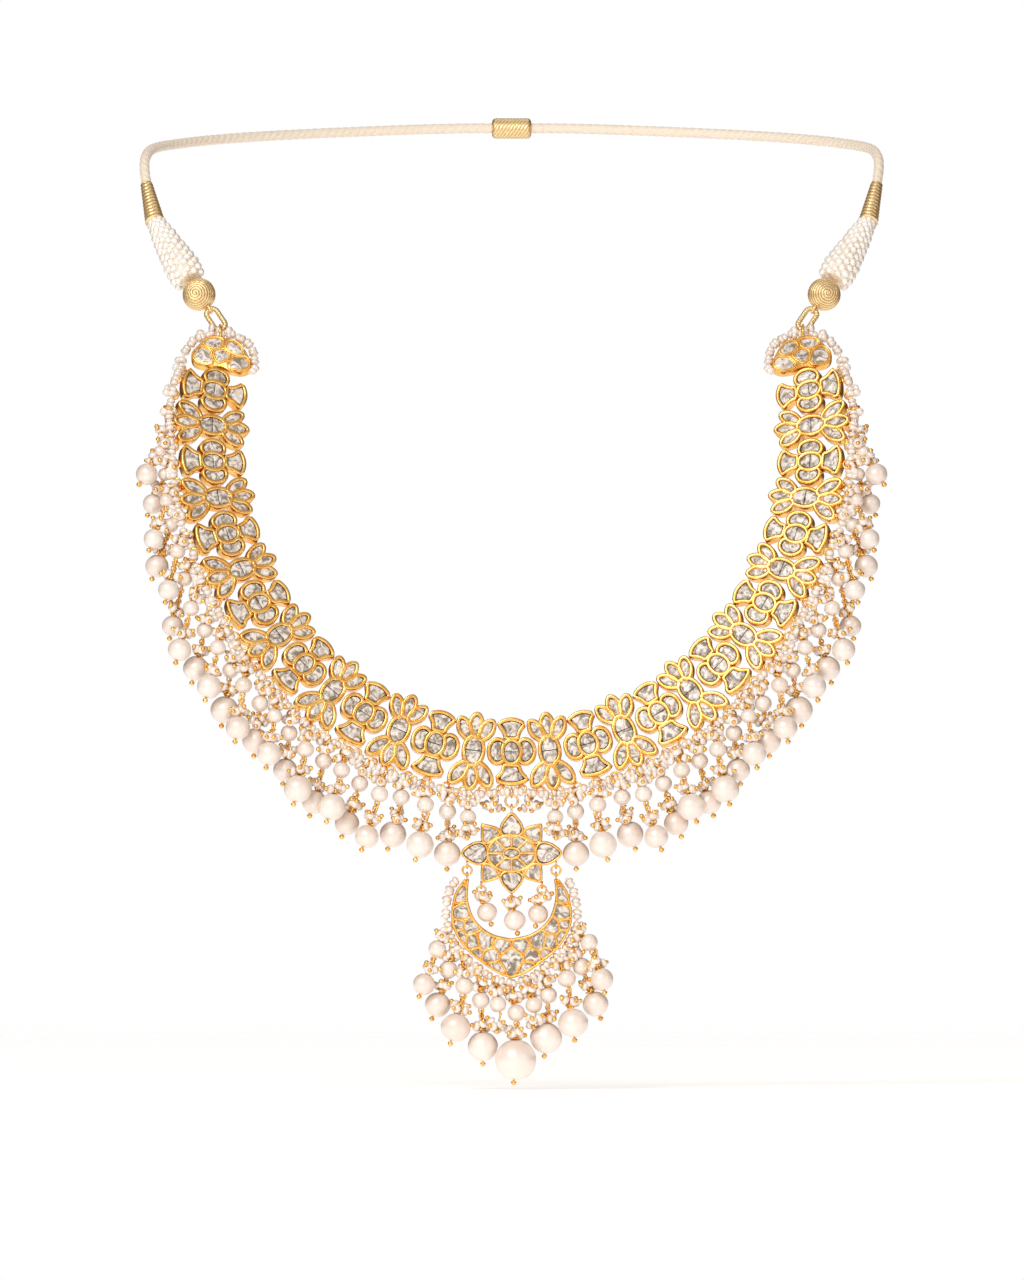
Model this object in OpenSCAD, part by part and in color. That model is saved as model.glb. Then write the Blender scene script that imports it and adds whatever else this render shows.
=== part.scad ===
// Kundan necklace, shown as it hangs when worn.
// A collar of pierced gold plaques is set with flat-cut stones and hung with pearl drops.
// A star and a crescent swing below its middle plaque. Bundles of seed beads run from its
// end caps to wound thread, and a silk cord with a slider closes the loop behind the neck.
// The origin is on the inner side of the slider, at the nape. The front faces -Y and +Z is up.
// Heights are measured up from the centre of the lowest plaque, and x out from the middle.

/* [Neck] */
// Depth from the nape to the front of the lowest plaque
neck_depth = 120; // [116:1:126]
// Drop from the nape to the centre of the lowest plaque
band_drop = 158.4; // [156:0.2:161]
// Lean of the collar: a larger number hangs flatter
lean = 370; // [360:5:390]

/* [Plaques] */
// Thickness of a plaque from its back sheet to its rims
plaque_t = 3.2; // [3.1:0.1:3.4]
// Width of the gold rim round a stone
rim = 0.95; // [0.9:0.05:0.95]
// Gold wall left outside the filling
wall = 0.3; // [0.25:0.05:0.35]
// Thickness of the back sheet
sheet_t = 0.45; // [0.4:0.05:0.5]
// Depth of the stone cells
cell_depth = 1.75; // [1.7:0.05:1.8]
// Clearance between a stone and its cell
seat_gap = 0.1; // [0.08:0.01:0.12]
// Share of a stone that its table takes
table_share = 0.65; // [0.5:0.05:0.75]
// Depth of a stone's table below the rims
table_drop = 0.3; // [0.2:0.05:0.5]

/* [Rings and wires] */
// Radius of the wire of the small rings
ring_wire = 0.25; // [0.22:0.01:0.27]
// Radius of the drops' rings, to the middle of the wire
ring_r = 1.2; // [1.15:0.05:1.25]
// Radius of the wire of the large hanging ring
hang_wire = 0.29; // [0.27:0.01:0.3]
// Radius of the large hanging ring, to the middle of the wire
hang_r = 1.54; // [1.5:0.02:1.56]
// Gap between linked wires
link_gap = 0.1; // [0.08:0.01:0.12]
// Radius of the pins that carry the pearls
pin_r = 0.25; // [0.2:0.05:0.3]
// Radius of a pearl's drilled hole
bore_r = 0.42; // [0.4:0.01:0.45]
// Radius of the gold ball under a pearl
ball_r = 0.65; // [0.6:0.05:0.7]
// Radius of the thread that holds the seed pearls
thread_r = 0.35; // [0.3:0.05:0.35]

/* [Cord side] */
// Radius of the ball of wound gold thread
wound_r = 4.15; // [4:0.05:4.2]
// Radius of the bead bundle at its lower end
bundle_r = 4.5; // [4.2:0.1:4.6]
// Radius of the bead bundle where the thread wraps it
wrap_r = 2.4; // [2.3:0.1:2.5]
// Radius of the wrap where the cord leaves it
wrap_end_r = 1.5; // [1.4:0.1:1.6]
// Radius of the silk cord
cord_r = 1.3; // [1.2:0.05:1.35]
// Radius of the slider at the nape
slider_r = 2.6; // [2.5:0.1:2.8]
// Length of the slider
slider_l = 10; // [9:0.5:12]

/* [Hidden] */
$fn = 48;

gold = "#d9a441";
polki = "#cfc6bd";
pearl_white = "#f1dfd2";
cream = "#f3e6d3";

// Places of the plaques' centres from the lowest one to the last, then the end cap.
// Columns: distance from the middle, height.
PLACES = [
    [0, 0], [9.5, 0.4], [19.1, 2.1], [28.1, 5.6], [36.8, 9.8], [44.6, 15.4], [51.7, 22],
    [57.9, 29.4], [63.1, 37.4], [67.4, 45.9], [71, 54.7], [73.3, 63.8], [74.6, 72.9],
    [74.9, 82], [74.4, 90.9], [73, 98.9]
];
cap = len(PLACES) - 1;

// Cells of the quatrefoil plaques. The first is the middle oval, which holds two half stones.
// Columns: x, y towards the neck, half width, half length, turn, spread, squareness. A fan has
// one more: how far its wide end arches.
QUATREFOIL = [
    [0, 0, 2.1, 2.85, 0, 0, 1],
    [3.95, 0.2, 2.45, 1.3, -90, -0.25, 0.8],
    [-3.95, 0.2, 2.45, 1.3, 90, -0.25, 0.8],
    [0, 5.3, 2.3, 1.45, 0, 0.5, 0.62, 1],
    [0, -5.5, 3, 1.7, 180, 0.42, 0.6, 0.85]
];
// Cells of the flower plaques, with the same columns
FLOWER = [
    [0, 0, 1.95, 3.25, 0, 0, 1],
    [0, 6.25, 1.05, 2.25, 0, 0.15, 1.1],
    [2.6, 5.25, 1, 2.2, -29, 0.15, 1.1],
    [-2.6, 5.25, 1, 2.2, 29, 0.15, 1.1],
    [0, -6.5, 1.05, 2.35, 180, 0.15, 1.1],
    [3, -5.6, 1.1, 2.65, -146, 0.15, 1.1],
    [-3, -5.6, 1.1, 2.65, 146, 0.15, 1.1]
];
// Cells of the end caps, with the same columns
CAP = [
    [4.4, 0.8, 2, 1.85, 0, 0, 0.9],
    [1.6, 4.2, 1.8, 1.15, 0, 0.15, 0.85],
    [-0.2, 1, 1.9, 1.15, 20, 0, 0.9],
    [-3.2, 2.9, 1.9, 1.15, 38, 0, 0.9],
    [-4.6, -1.4, 2.2, 1.5, 12, 0, 1]
];
// The notch in a cap's foot, where the side of the last plaque sits: x, y, half width, half length
CAP_NOTCH = [1, -6.1, 4.2, 3.7, 0, 0, 1];

// Cells of the star, with the same columns. Its corners are drawn apart.
STAR = concat(
    [[0, 0, 0.95, 1.75, 90, 0, 1.1]],
    [for (s = [-1, 1]) [1.45 * s, 3.15, 1, 1.4, 0, 0.2, 0.7]],
    [for (s = [-1, 1]) [1.45 * s, -3.1, 1, 1.3, 180, 0.2, 0.7]],
    [for (s = [-1, 1], t = [-1, 1]) [4.05 * s, 1.75 * t, 1.55, 1.15, 0, -0.3 * t, 0.8]],
    [[0, 6.7, 2.1, 2.1, 0, -0.4, 0.9], [0, -6.8, 2.1, 1.85, 180, -0.4, 0.9]],
    [for (s = [-1, 1]) [8.85 * s, 0, 2.15, 2.4, -90 * s, -0.3, 0.9]],
    [for (s = [-1, 1], t = [-1, 1])
        [5.45 * s, 4.9 * t, 1.85, 1.75, s * (t > 0 ? -48 : -132), 0.15, 0.8]]
);
// A square corner of the star's frame
STAR_CORNER = [[1, 1], [2.9, 6], [5.2, 7], [7.6, 7.5], [7.75, 4.9], [7.6, 2.4]];
// Centre of the star, as a height
star_h = -25.4;

// Cells of the crescent's right half, with the same columns, then its middle drop
CRESCENT_SIDE = [
    [12.75, 7.1, 0.75, 1.7, 14, 0, 1],
    [12.65, 3.5, 1.3, 1.75, 8, 0, 0.9],
    [13.25, 0.05, 0.95, 1, 0, 0, 0.75],
    [10.15, -0.35, 1.5, 1.3, -35, -0.2, 0.9],
    [12.35, -3, 0.65, 1.35, -28, 0, 1],
    [9.75, -4.25, 1.2, 1.5, 0, 0, 0.85],
    [6.65, -3.85, 1.35, 1.75, -15, 0.1, 0.85],
    [8.65, -7.05, 1.15, 0.75, 30, 0, 0.9],
    [5.25, -7.7, 1.45, 1.35, 20, -0.2, 0.85],
    [2.35, -5.35, 1.25, 1.1, 180, -0.35, 0.85],
    [3.75, -10.3, 1.3, 0.65, 30, 0, 0.9]
];
CRESCENT_DROP = [0, -9.35, 2, 2.6, 180, -0.2, 1.05];
// Outer edge of the crescent's right half from its tip to its horn, then the inner edge back
CRESCENT_OUTER = [
    [0, -13.4], [3.3, -12.2], [7, -9.8], [11.9, -5.6], [15, 0.5], [14.4, 7.4], [11.9, 11.4]
];
CRESCENT_INNER = [[10.6, 11.4], [10.9, 6.4], [9.1, 1.3], [5.1, -2.1], [0, -3.4]];
// Height of the crescent's own zero, between its horns and its tip
crescent_h = -43.35;
pendant_t = 3;

// How far the edge thread lies out from a plaque's centre
thread_out = [10.3, 10.95];
thread_middle = 9.7;
// Route of the thread round an end cap
CAP_THREAD = [
    [9.8, -2.2], [9.4, 1.8], [7.2, 5.2], [3.4, 7.2], [-1, 7.3], [-4.8, 6.4], [-7.6, 3.6], [-8.6, 0],
    [-7.9, -3.8]
];

// Drops of the fringe, from the middle up one side.
// Columns: place along the thread in plaques, then x, height and radius of the upper pearl,
// x, height and radius of the lower pearl. A radius of 0 leaves the pearl out.
DROPS = [
    [0.5, 5.1, -13.6, 0, 5.1, -14.5, 0],
    [1, 10.9, -16.4, 2, 11.1, -21, 0],
    [1.45, 16, -15, 2.1, 16.1, -25.5, 3.3],
    [2.05, 21.5, -13.3, 2.1, 22.9, -23.2, 3.4],
    [2.5, 27.6, -11.4, 2.1, 29.7, -20.7, 3.3],
    [2.95, 33, -10.6, 2.1, 36.2, -21.2, 3],
    [3.4, 38, -8, 2.1, 41.2, -17.9, 3.05],
    [3.95, 42.5, -4.6, 2.1, 44.9, -13.8, 3.4],
    [4.4, 47, -2.4, 2.1, 49.4, -12.6, 3.05],
    [4.9, 51.5, 0.6, 2.1, 53.4, -9.3, 3.5],
    [5.4, 55.6, 4.6, 2.1, 56.6, -4.6, 3],
    [5.85, 59.2, 8.9, 1.9, 60.6, -0.5, 3.05],
    [6.25, 62.9, 12, 2.1, 64, 2.7, 3.3],
    [6.9, 67, 16.6, 2.1, 68.4, 6, 3.05],
    [7.35, 70.3, 20.3, 2, 71.8, 10.4, 3.5],
    [7.9, 73.4, 26, 2, 75.6, 16.3, 3.05],
    [8.45, 76.8, 30.3, 2, 79, 20.8, 3.2],
    [9, 80.2, 35.8, 2, 83, 25.5, 2.9],
    [9.6, 82, 43.2, 2, 84.8, 31.4, 2.7],
    [10.2, 83.6, 50, 1.9, 85.8, 40.4, 2.65],
    [10.75, 85.4, 56.6, 1.9, 88.8, 46.4, 2.9],
    [11.4, 86.4, 62.8, 1.7, 89.6, 53.2, 2.5],
    [12, 86.9, 69.4, 1.65, 89.8, 62, 2.6],
    [12.6, 88.2, 75, 1.6, 91.4, 69.4, 2.75],
    [13.3, 86.6, 82, 0, 87.4, 79, 0]
];

// Drops below the star: x of the ring, height of the edge, then x, height and radius of the pearl
STAR_DROPS = [
    [-7.6, -32.8, -6.1, -40.2, 2.5], [0, -35.4, 0.8, -42.2, 2.7], [7.6, -32.8, 6.6, -40.6, 2.5]
];

// Route of the thread along the crescent's right side, from its tip to its horn
CRESCENT_THREAD = [
    [0, -14.7], [3.9, -13.5], [7.9, -10.9], [13, -6.4], [16.3, 0.4], [15.8, 7.8], [13.6, 11.8]
];
// Drops of the crescent. Columns: place along the thread, then x, height and radius of the
// upper pearl, x, height and radius of the lower pearl, and how far back the lower one hangs.
CRESCENT_DROPS = [
    [-3.75, -18.6, -6, 2.2, -21.9, -14.8, 2.75, -1.5],
    [-3.25, -15.8, -11.2, 2.3, -18.5, -20, 3.2, 1.5],
    [-2.65, -11.8, -15.2, 2.25, -14, -25.6, 3.7, -1.5],
    [-2, -7.7, -18.9, 2.2, -7.2, -30.4, 3.8, 1.5],
    [-1, -3.4, -19.8, 2.1, -3.6, -26, 0, -1.5],
    [0, 1.2, -22, 2.2, 1, -33.7, 5.15, -1.5],
    [1, 5.6, -20, 2.1, 5.6, -25, 0, -1.5],
    [2, 9.2, -17.6, 2.15, 8.6, -28.3, 4, 1.5],
    [2.65, 13.8, -13.4, 2.3, 15.4, -24.5, 3.75, -1.5],
    [3.25, 17.5, -10.4, 2.3, 21, -19.8, 3.25, 1.5],
    [3.75, 19.4, -4.4, 2.2, 22.6, -13.6, 2.85, -1.5]
];

// Chain side: x and height of the wound ball, of the ends of the bundle and of the wrap's end
BALL_AT = [78.6, 114.8];
BUNDLE_FROM = [80.9, 118.3];
BUNDLE_TO = [89.9, 133.4];
WRAP_TO = [92.1, 142.8];
// Route of the silk cord on one side, from above the wrap round to the nape
CORD_ROUTE = [
    [92.7, -61, -11.2], [92.4, -56.6, -8.4], [90.6, -48.6, -6.2], [85, -36.6, -4.8],
    [75, -24.4, -3.4], [61, -13.8, -2.2], [44, -5.4, -1.2], [26, -0.2, -0.4], [12, 2.2, 0], [0, 2.6, 0]
];

// Rules of the form

function depth(h) = pow(max(h, 0), 2) / lean - neck_depth;
function slope(h) = atan(2 * max(h, 0) / lean);
function spot(x, h) = [x, depth(h), h - band_drop];

// Heading of the collar at plaque i, level at the middle and upright at the side
function before(i) = i == 0 ? [-PLACES[1][0], PLACES[1][1]] : PLACES[i - 1];
function after(i) = i >= cap - 1 ? PLACES[cap] : PLACES[i + 1];
function heading(i) =
    let (d = after(i) - before(i), t = slope(PLACES[i][1]))
    i == cap ? 90 : atan2(d[1] / cos(t), d[0]);
// The outer edge stands forward of the inner edge by this angle, which grows up the sides
dish_low = 8;
dish_more = 11;
function dish(a) = dish_low + dish_more * sin(a);

function about_x(v, a) = [v[0], v[1] * cos(a) - v[2] * sin(a), v[1] * sin(a) + v[2] * cos(a)];
function about_z(v, a) = [v[0] * cos(a) - v[1] * sin(a), v[0] * sin(a) + v[1] * cos(a), v[2]];
function on_plaque(i, v) =
    let (p = PLACES[i], a = heading(i))
    spot(p[0], p[1]) + about_x(about_z(about_x(v, -dish(a)), a), 90 - slope(p[1]));
function on_cap(v) =
    let (p = PLACES[cap])
    spot(p[0], p[1]) + about_x(v, 90 - slope(p[1]));

module at_plaque(i) {
    p = PLACES[i];
    a = heading(i);
    translate(spot(p[0], p[1])) rotate([90 - slope(p[1]), 0, 0]) rotate([0, 0, a]) rotate([-dish(a), 0, 0])
        children();
}

module at_cap() {
    p = PLACES[cap];
    translate(spot(p[0], p[1])) rotate([90 - slope(p[1]), 0, 0]) children();
}

module left() {
    mirror([1, 0, 0]) children();
}

// A smooth curve through points: u counts the points passed
function knot(points, k) = points[max(0, min(len(points) - 1, k))];
function along(points, u) =
    let (k = floor(u), f = u - k, a = knot(points, k - 1), b = knot(points, k),
         c = knot(points, k + 1), d = knot(points, k + 2))
    0.5 * (2 * b + (c - a) * f + (2 * a - 5 * b + 4 * c - d) * f * f
        + (3 * b - a - 3 * c + d) * f * f * f);
function smooth(points, steps) =
    [for (k = [0:steps * (len(points) - 1)]) along(points, k / steps)];
// A thread is drawn in straight steps, and its rings ride on those
thread_steps = 2;
function on_thread(points, u) =
    let (a = floor(u * thread_steps), f = u * thread_steps - a)
    (1 - f) * along(points, a / thread_steps) + f * along(points, (a + 1) / thread_steps);
function unit(v) = v / norm(v);

// A round tube along a path of points
module tube(path, r, sides = 8) {
    n = len(path);
    function way(k) = unit(path[min(n - 1, k + 1)] - path[max(0, k - 1)]);
    function side(k) = unit(cross(way(k), abs(way(k)[2]) > 0.8 ? [0, 1, 0] : [0, 0, 1]));
    points = [
        for (k = [0:n - 1], s = [0:sides - 1])
            let (a = 360 * s / sides, u = side(k), v = cross(u, way(k)))
            path[k] + r * (cos(a) * u + sin(a) * v)
    ];
    walls = [
        for (k = [0:n - 2], s = [0:sides - 1])
            let (a = k * sides + s, b = k * sides + (s + 1) % sides)
            each [[a, b, b + sides], [a, b + sides, a + sides]]
    ];
    start = [[for (s = [sides - 1:-1:0]) s]];
    end = [[for (s = [0:sides - 1]) (n - 1) * sides + s]];
    polyhedron(points, concat(walls, start, end));
}

// Turns +Z to point from one place to another
module aimed(from, to) {
    d = to - from;
    translate(from) rotate([0, acos(d[2] / norm(d)), atan2(d[1], d[0])]) children();
}

// A straight round wire between two points
module wire(a, b, r) {
    aimed(a, b) cylinder(r = r, h = norm(b - a), $fn = 24);
}

// A round ring in the XY plane
module ring(r, wire_r) {
    rotate_extrude($fn = 32) translate([r, 0]) circle(r = wire_r, $fn = 16);
}

// Stones and their settings

function squared(v, e) = sign(v) * pow(abs(v), e);
function arch(c, a) = len(c) > 7 && sin(a) > 0 ? c[7] * (1 - pow(squared(cos(a), c[6]), 2)) : 0;
function cell_point(c, a, grow) =
    let (u = squared(cos(a), c[6]) * (1 + c[5] * sin(a)) * (c[2] + grow),
         v = squared(sin(a), c[6]) * (c[3] + grow) + arch(c, a))
    [c[0] + u * cos(c[4]) - v * sin(c[4]), c[1] + u * sin(c[4]) + v * cos(c[4])];
function cell_outline(c, sides, grow = 0) =
    [for (k = [0:sides - 1]) cell_point(c, 360 * k / sides, grow)];

// The two half stones of an oval cell, with their flat sides together. As shares of the oval:
// a half's width and length, and how far out it sits. Then its spread and squareness.
half_w = 0.84;
half_l = 0.44;
half_out = 0.49;
half_spread = -0.32;
half_square = 0.85;
function half_cell(c, s) =
    [c[0], c[1] + s * c[3] * half_out, c[2] * half_w, c[3] * half_l,
        s > 0 ? 0 : 180, half_spread, half_square];
function halves(c) = [for (s = [-1, 1]) half_cell(c, s)];

// Half the width of the slits that are filled between rims
closing = 0.15;
// How far a cut runs past the face that it opens
cut = 0.1;

// The outline of a group of cells, with narrow slits between their rims filled
module cells(list, grow, sides = 12) {
    offset(delta = -closing) offset(delta = closing)
        for (c = list) polygon(cell_outline(c, sides, grow));
}

// How far a stone's foot is sunk in the filling
stone_sink = 0.35;

// A flat-cut stone: eight facets that slope from the filling up to a table
module stone(c) {
    low = cell_outline(c, 8, -seat_gap);
    centre = [c[0], c[1]];
    foot = [for (p = low) [p[0], p[1], -cell_depth - stone_sink]];
    table = [for (p = low) each [concat(centre + (p - centre) * table_share, [-table_drop])]];
    facets = [for (k = [0:7]) [k, 8 + k, 8 + (k + 1) % 8, (k + 1) % 8]];
    polyhedron(concat(foot, table), concat(facets, [[for (k = [0:7]) k]], [[for (k = [7:-1:0]) 8 + k]]));
}

// A setting from z = 0 down: cells open to a hollow that holds the filling, over a back sheet
module setting(list, thickness) {
    difference() {
        translate([0, 0, -thickness]) linear_extrude(thickness) children();
        for (k = [0:len(list) - 1])
            translate([0, 0, -cell_depth - cut]) linear_extrude(cell_depth + 2 * cut)
                polygon(cell_outline(list[k], k == 0 ? 16 : 8));
        translate([0, 0, sheet_t - thickness]) linear_extrude(thickness - sheet_t - cell_depth)
            cells(list, rim - wall, 8);
    }
}

// The filling of a setting, with its stones rising through the cells
module filled(list, stones, thickness) {
    translate([0, 0, sheet_t + seat_gap - thickness])
        linear_extrude(thickness - sheet_t - cell_depth - 2 * seat_gap)
            offset(delta = -seat_gap) cells(list, rim - wall, 8);
    for (c = stones) stone(c);
}

function kind(i) = i % 2 == 0 ? QUATREFOIL : FLOWER;
function with_halves(list) = concat(halves(list[0]), [for (k = [1:len(list) - 1]) list[k]]);

module plaque(i) {
    color(gold) at_plaque(i) setting(kind(i), plaque_t) cells(kind(i), rim);
}

// The middle plaque has a loop for the hanging ring
loop_r = 1.2;
loop_at = on_plaque(0, [0, -10.15, -plaque_t / 2]);
// The star and the crescent hang in one upright plane, below that loop
hang_y = loop_at[1];

// A loop seen edge on, which holds a ring by its foot or is held by its head
module edge_loop(x, z, r) {
    translate([x, hang_y, z]) rotate([0, 90, 0]) ring(r, ring_wire);
}

module middle_plaque() {
    plaque(0);
    color(gold) edge_loop(0, loop_at[2], loop_r);
}

// A cap's bail holds the link
bail_x = 0.2;
bail_y = 7.9;
bail_r = 1.9;
bail_wire = 0.35;

module cap_outline() {
    difference() {
        hull() cells(CAP, rim);
        polygon(cell_outline(CAP_NOTCH, 16));
    }
}

// An end cap, with a bail on its top for the link
module end_cap() {
    color(gold) at_cap() {
        setting(CAP, plaque_t) cap_outline();
        translate([bail_x, bail_y, -plaque_t / 2]) rotate([0, 90, 0]) ring(bail_r, bail_wire);
    }
}

module stones(first) {
    color(polki) {
        for (i = [first:cap - 1]) at_plaque(i) filled(kind(i), with_halves(kind(i)), plaque_t);
        at_cap() filled(CAP, CAP, plaque_t);
    }
}

// The thread of the seed pearls

THREAD = concat(
    [on_plaque(0, [0.12, -thread_middle, -plaque_t / 2])],
    [for (i = [1:cap - 1]) on_plaque(i, [0, -thread_out[i % 2], -plaque_t / 2])],
    [for (p = CAP_THREAD) on_cap([p[0], p[1], -plaque_t / 2])]
);

module edge_thread() {
    color(cream) tube(smooth(THREAD, thread_steps), thread_r);
}

// Drops

// A ring hangs this far below the thread that it rides on, and is turned to let it through
ring_low = 0.45;
ring_yaw = 54;
// Every second drop hangs in front of its neighbours
drop_front = -3.2;
drop_back = 1.8;
// The share of that distance that the upper pearl already stands off
upper_share = 0.4;

// The frame of the thread at place u, where a ring hangs
module at_thread(u) {
    i = floor(u);
    a = heading(i) + (u - i) * (heading(i + 1) - heading(i));
    p = on_thread(THREAD, u);
    translate(p) rotate([90 - slope(p[2] + band_drop), 0, 0]) rotate([0, 0, a]) rotate([-dish(a), 0, 0])
        children();
}
function thread_frame(u, v) =
    let (i = floor(u), a = heading(i) + (u - i) * (heading(i + 1) - heading(i)), p = on_thread(THREAD, u))
    p + about_x(about_z(about_x(v, -dish(a)), a), 90 - slope(p[2] + band_drop));

// Where the parts of drop k are: its ring's foot, its upper pearl, its lower pearl
function drop_foot(k) = thread_frame(DROPS[k][0], [0, -ring_low - ring_r, 0]);
function stand_off(k) = k % 2 == 0 ? drop_back : drop_front;
function upper_at(k) = [DROPS[k][1], drop_foot(k)[1] + upper_share * stand_off(k), DROPS[k][2] - band_drop];
function lower_at(k) = [DROPS[k][4], drop_foot(k)[1] + stand_off(k), DROPS[k][5] - band_drop];

// The pin of a drop bends once, this far below its upper pearl, and ends in a ball that the
// lower pearl rests on
bend_low = 0.5;
bend_r = 1.4 * pin_r;
ball_seat = 0.92;
function bend_at(foot, upper, upper_r) = upper + unit(upper - foot) * (upper_r + bend_low);
function pin_end(bend, lower, lower_r) = lower + unit(lower - bend) * (lower_r + ball_seat * ball_r);

module drop_pin(foot, upper, upper_r, lower, lower_r) {
    bend = bend_at(foot, upper, upper_r);
    end = pin_end(bend, lower, lower_r);
    wire(foot, bend, pin_r);
    translate(bend) sphere(r = bend_r, $fn = 24);
    wire(bend, end, pin_r);
    translate(end) sphere(r = ball_r, $fn = 24);
}

// A pearl, drilled along its pin
module pearl(at, way, r) {
    if (r > 0)
        aimed(at, at + way) rotate_extrude($fn = 32) difference() {
            circle(r = r, $fn = 32);
            translate([-r - 1, -r - 1]) square([r + 1 + bore_r, 2 * r + 2]);
        }
}

module drop_pearls(foot, upper, upper_r, lower, lower_r) {
    bend = bend_at(foot, upper, upper_r);
    pearl(upper, unit(upper - foot), upper_r);
    pearl(lower, unit(lower - bend), lower_r);
}

module fringe_pearls() {
    color(pearl_white)
        for (k = [0:len(DROPS) - 1])
            drop_pearls(drop_foot(k), upper_at(k), DROPS[k][3], lower_at(k), DROPS[k][6]);
}

module fringe_wires() {
    color(gold)
        for (k = [0:len(DROPS) - 1]) {
            at_thread(DROPS[k][0]) translate([0, -ring_low, 0]) rotate([0, ring_yaw, 0])
                ring(ring_r, ring_wire);
            drop_pin(drop_foot(k), upper_at(k), DROPS[k][3], lower_at(k), DROPS[k][6]);
        }
}

// The ring holds the loop of the middle plaque by its foot, and the star turns about its own foot
ring_z = loop_at[2] - loop_r + ring_wire + hang_wire + link_gap - hang_r;
star_axis_z = ring_z - hang_r;

module upright(h) {
    translate([0, hang_y, h - band_drop]) rotate([90, 0, 0]) children();
}

module hanging_ring() {
    color(gold) translate([0, hang_y, ring_z]) rotate([90, 0, 0]) ring(hang_r, hang_wire);
}

// Rings and loops between the star, its drops and the crescent
side_x = 11.1;
side_ring_r = 1.15;
side_ring_z = -188.1;
crescent_axis_z = side_ring_z - side_ring_r;
wire_step = 2 * ring_wire + link_gap;
star_bail_r = 1.25;
side_loop_r = 0.92;
horn_loop_r = 1;
drop_loop_r = 0.8;
// How far a drop's loop lies below the edge of the star
drop_loop_low = 0.55;
drop_ring_r = 1.1;

module star_outline() {
    offset(delta = -closing) offset(delta = closing) {
        for (c = STAR) polygon(cell_outline(c, 12, rim));
        for (s = [-1, 1], t = [-1, 1]) scale([s, t]) polygon(STAR_CORNER);
    }
}

module star_setting() {
    color(gold) {
        upright(star_h) translate([0, 0, pendant_t / 2]) setting(STAR, pendant_t) star_outline();
        edge_loop(0, star_axis_z + hang_wire + ring_wire + link_gap - star_bail_r, star_bail_r);
        for (s = [-1, 1])
            edge_loop(s * side_x, side_ring_z + side_ring_r - wire_step + side_loop_r, side_loop_r);
        for (d = STAR_DROPS) edge_loop(d[0], d[1] - band_drop - drop_loop_low, drop_loop_r);
    }
}

module star_stones() {
    color(polki) upright(star_h) translate([0, 0, pendant_t / 2]) filled(STAR, STAR, pendant_t);
}

module crescent_rings() {
    color(gold)
        for (s = [-1, 1])
            translate([s * side_x, hang_y, side_ring_z]) rotate([90, 0, 0]) ring(side_ring_r, ring_wire);
}

// A star drop's ring hangs on its loop, and its pin starts at the ring's foot
function star_ring_z(d) = d[1] - band_drop - drop_loop_low - drop_loop_r + wire_step - drop_ring_r;
function star_foot(d) = [d[0], hang_y, star_ring_z(d) - drop_ring_r];
function star_pearl(d) = [d[2], hang_y, d[3] - band_drop];

module star_pearls() {
    color(pearl_white)
        for (d = STAR_DROPS) pearl(star_pearl(d), unit(star_pearl(d) - star_foot(d)), d[4]);
}

module star_wires() {
    color(gold)
        for (d = STAR_DROPS) {
            end = pin_end(star_foot(d), star_pearl(d), d[4]);
            translate([d[0], hang_y, star_ring_z(d)]) rotate([90, 0, 0]) ring(drop_ring_r, ring_wire);
            wire(star_foot(d), end, pin_r);
            translate(end) sphere(r = ball_r, $fn = 24);
        }
}

function mirrored(list) = [for (p = list) [-p[0], p[1]]];
function turned_cell(c) = [-c[0], c[1], c[2], c[3], -c[4], c[5], c[6]];
function backwards(list) = [for (k = [len(list) - 1:-1:0]) list[k]];
function without_first(list) = [for (k = [1:len(list) - 1]) list[k]];

CRESCENT = concat(CRESCENT_SIDE, [for (c = CRESCENT_SIDE) turned_cell(c)], [CRESCENT_DROP]);

// How far inside the tip the bar between the halves starts
join_in = 0.3;

module crescent_outline() {
    side = concat(smooth(CRESCENT_OUTER, 3), smooth(CRESCENT_INNER, 3));
    polygon(side);
    polygon(mirrored(side));
    // A narrow bar joins the two halves where they meet
    foot = CRESCENT_OUTER[0][1] + join_in;
    head = CRESCENT_INNER[len(CRESCENT_INNER) - 1][1] - cut;
    translate([-cut, foot]) square([2 * cut, head - foot]);
}

module crescent_setting() {
    color(gold) {
        upright(crescent_h) translate([0, 0, pendant_t / 2])
            setting(CRESCENT, pendant_t) crescent_outline();
        for (s = [-1, 1])
            edge_loop(s * side_x, crescent_axis_z + wire_step - horn_loop_r, horn_loop_r);
    }
}

module crescent_stones() {
    color(polki) upright(crescent_h) translate([0, 0, pendant_t / 2]) filled(CRESCENT, CRESCENT, pendant_t);
}

CRESCENT_WAY = concat(backwards(without_first(mirrored(CRESCENT_THREAD))), CRESCENT_THREAD);
crescent_mid = len(CRESCENT_THREAD) - 1;

function crescent_point(p) = [p[0], hang_y, p[1] + crescent_h - band_drop];
function crescent_at(u) = on_thread(CRESCENT_WAY, u + crescent_mid);
function crescent_way(u) = unit(crescent_at(u + 0.05) - crescent_at(u - 0.05));
function crescent_foot(u) =
    let (p = crescent_at(u), w = crescent_way(u))
    crescent_point(p + [w[1], -w[0]] * (ring_low + ring_r));
function crescent_upper(d) = [d[1], hang_y + upper_share * d[7], d[2] + crescent_h - band_drop];
function crescent_lower(d) = [d[4], hang_y + d[7], d[5] + crescent_h - band_drop];

module crescent_thread() {
    color(cream) tube([for (p = smooth(CRESCENT_WAY, thread_steps)) crescent_point(p)], thread_r);
}

module crescent_pearls() {
    color(pearl_white)
        for (d = CRESCENT_DROPS)
            drop_pearls(crescent_foot(d[0]), crescent_upper(d), d[3], crescent_lower(d), d[6]);
}

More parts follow.
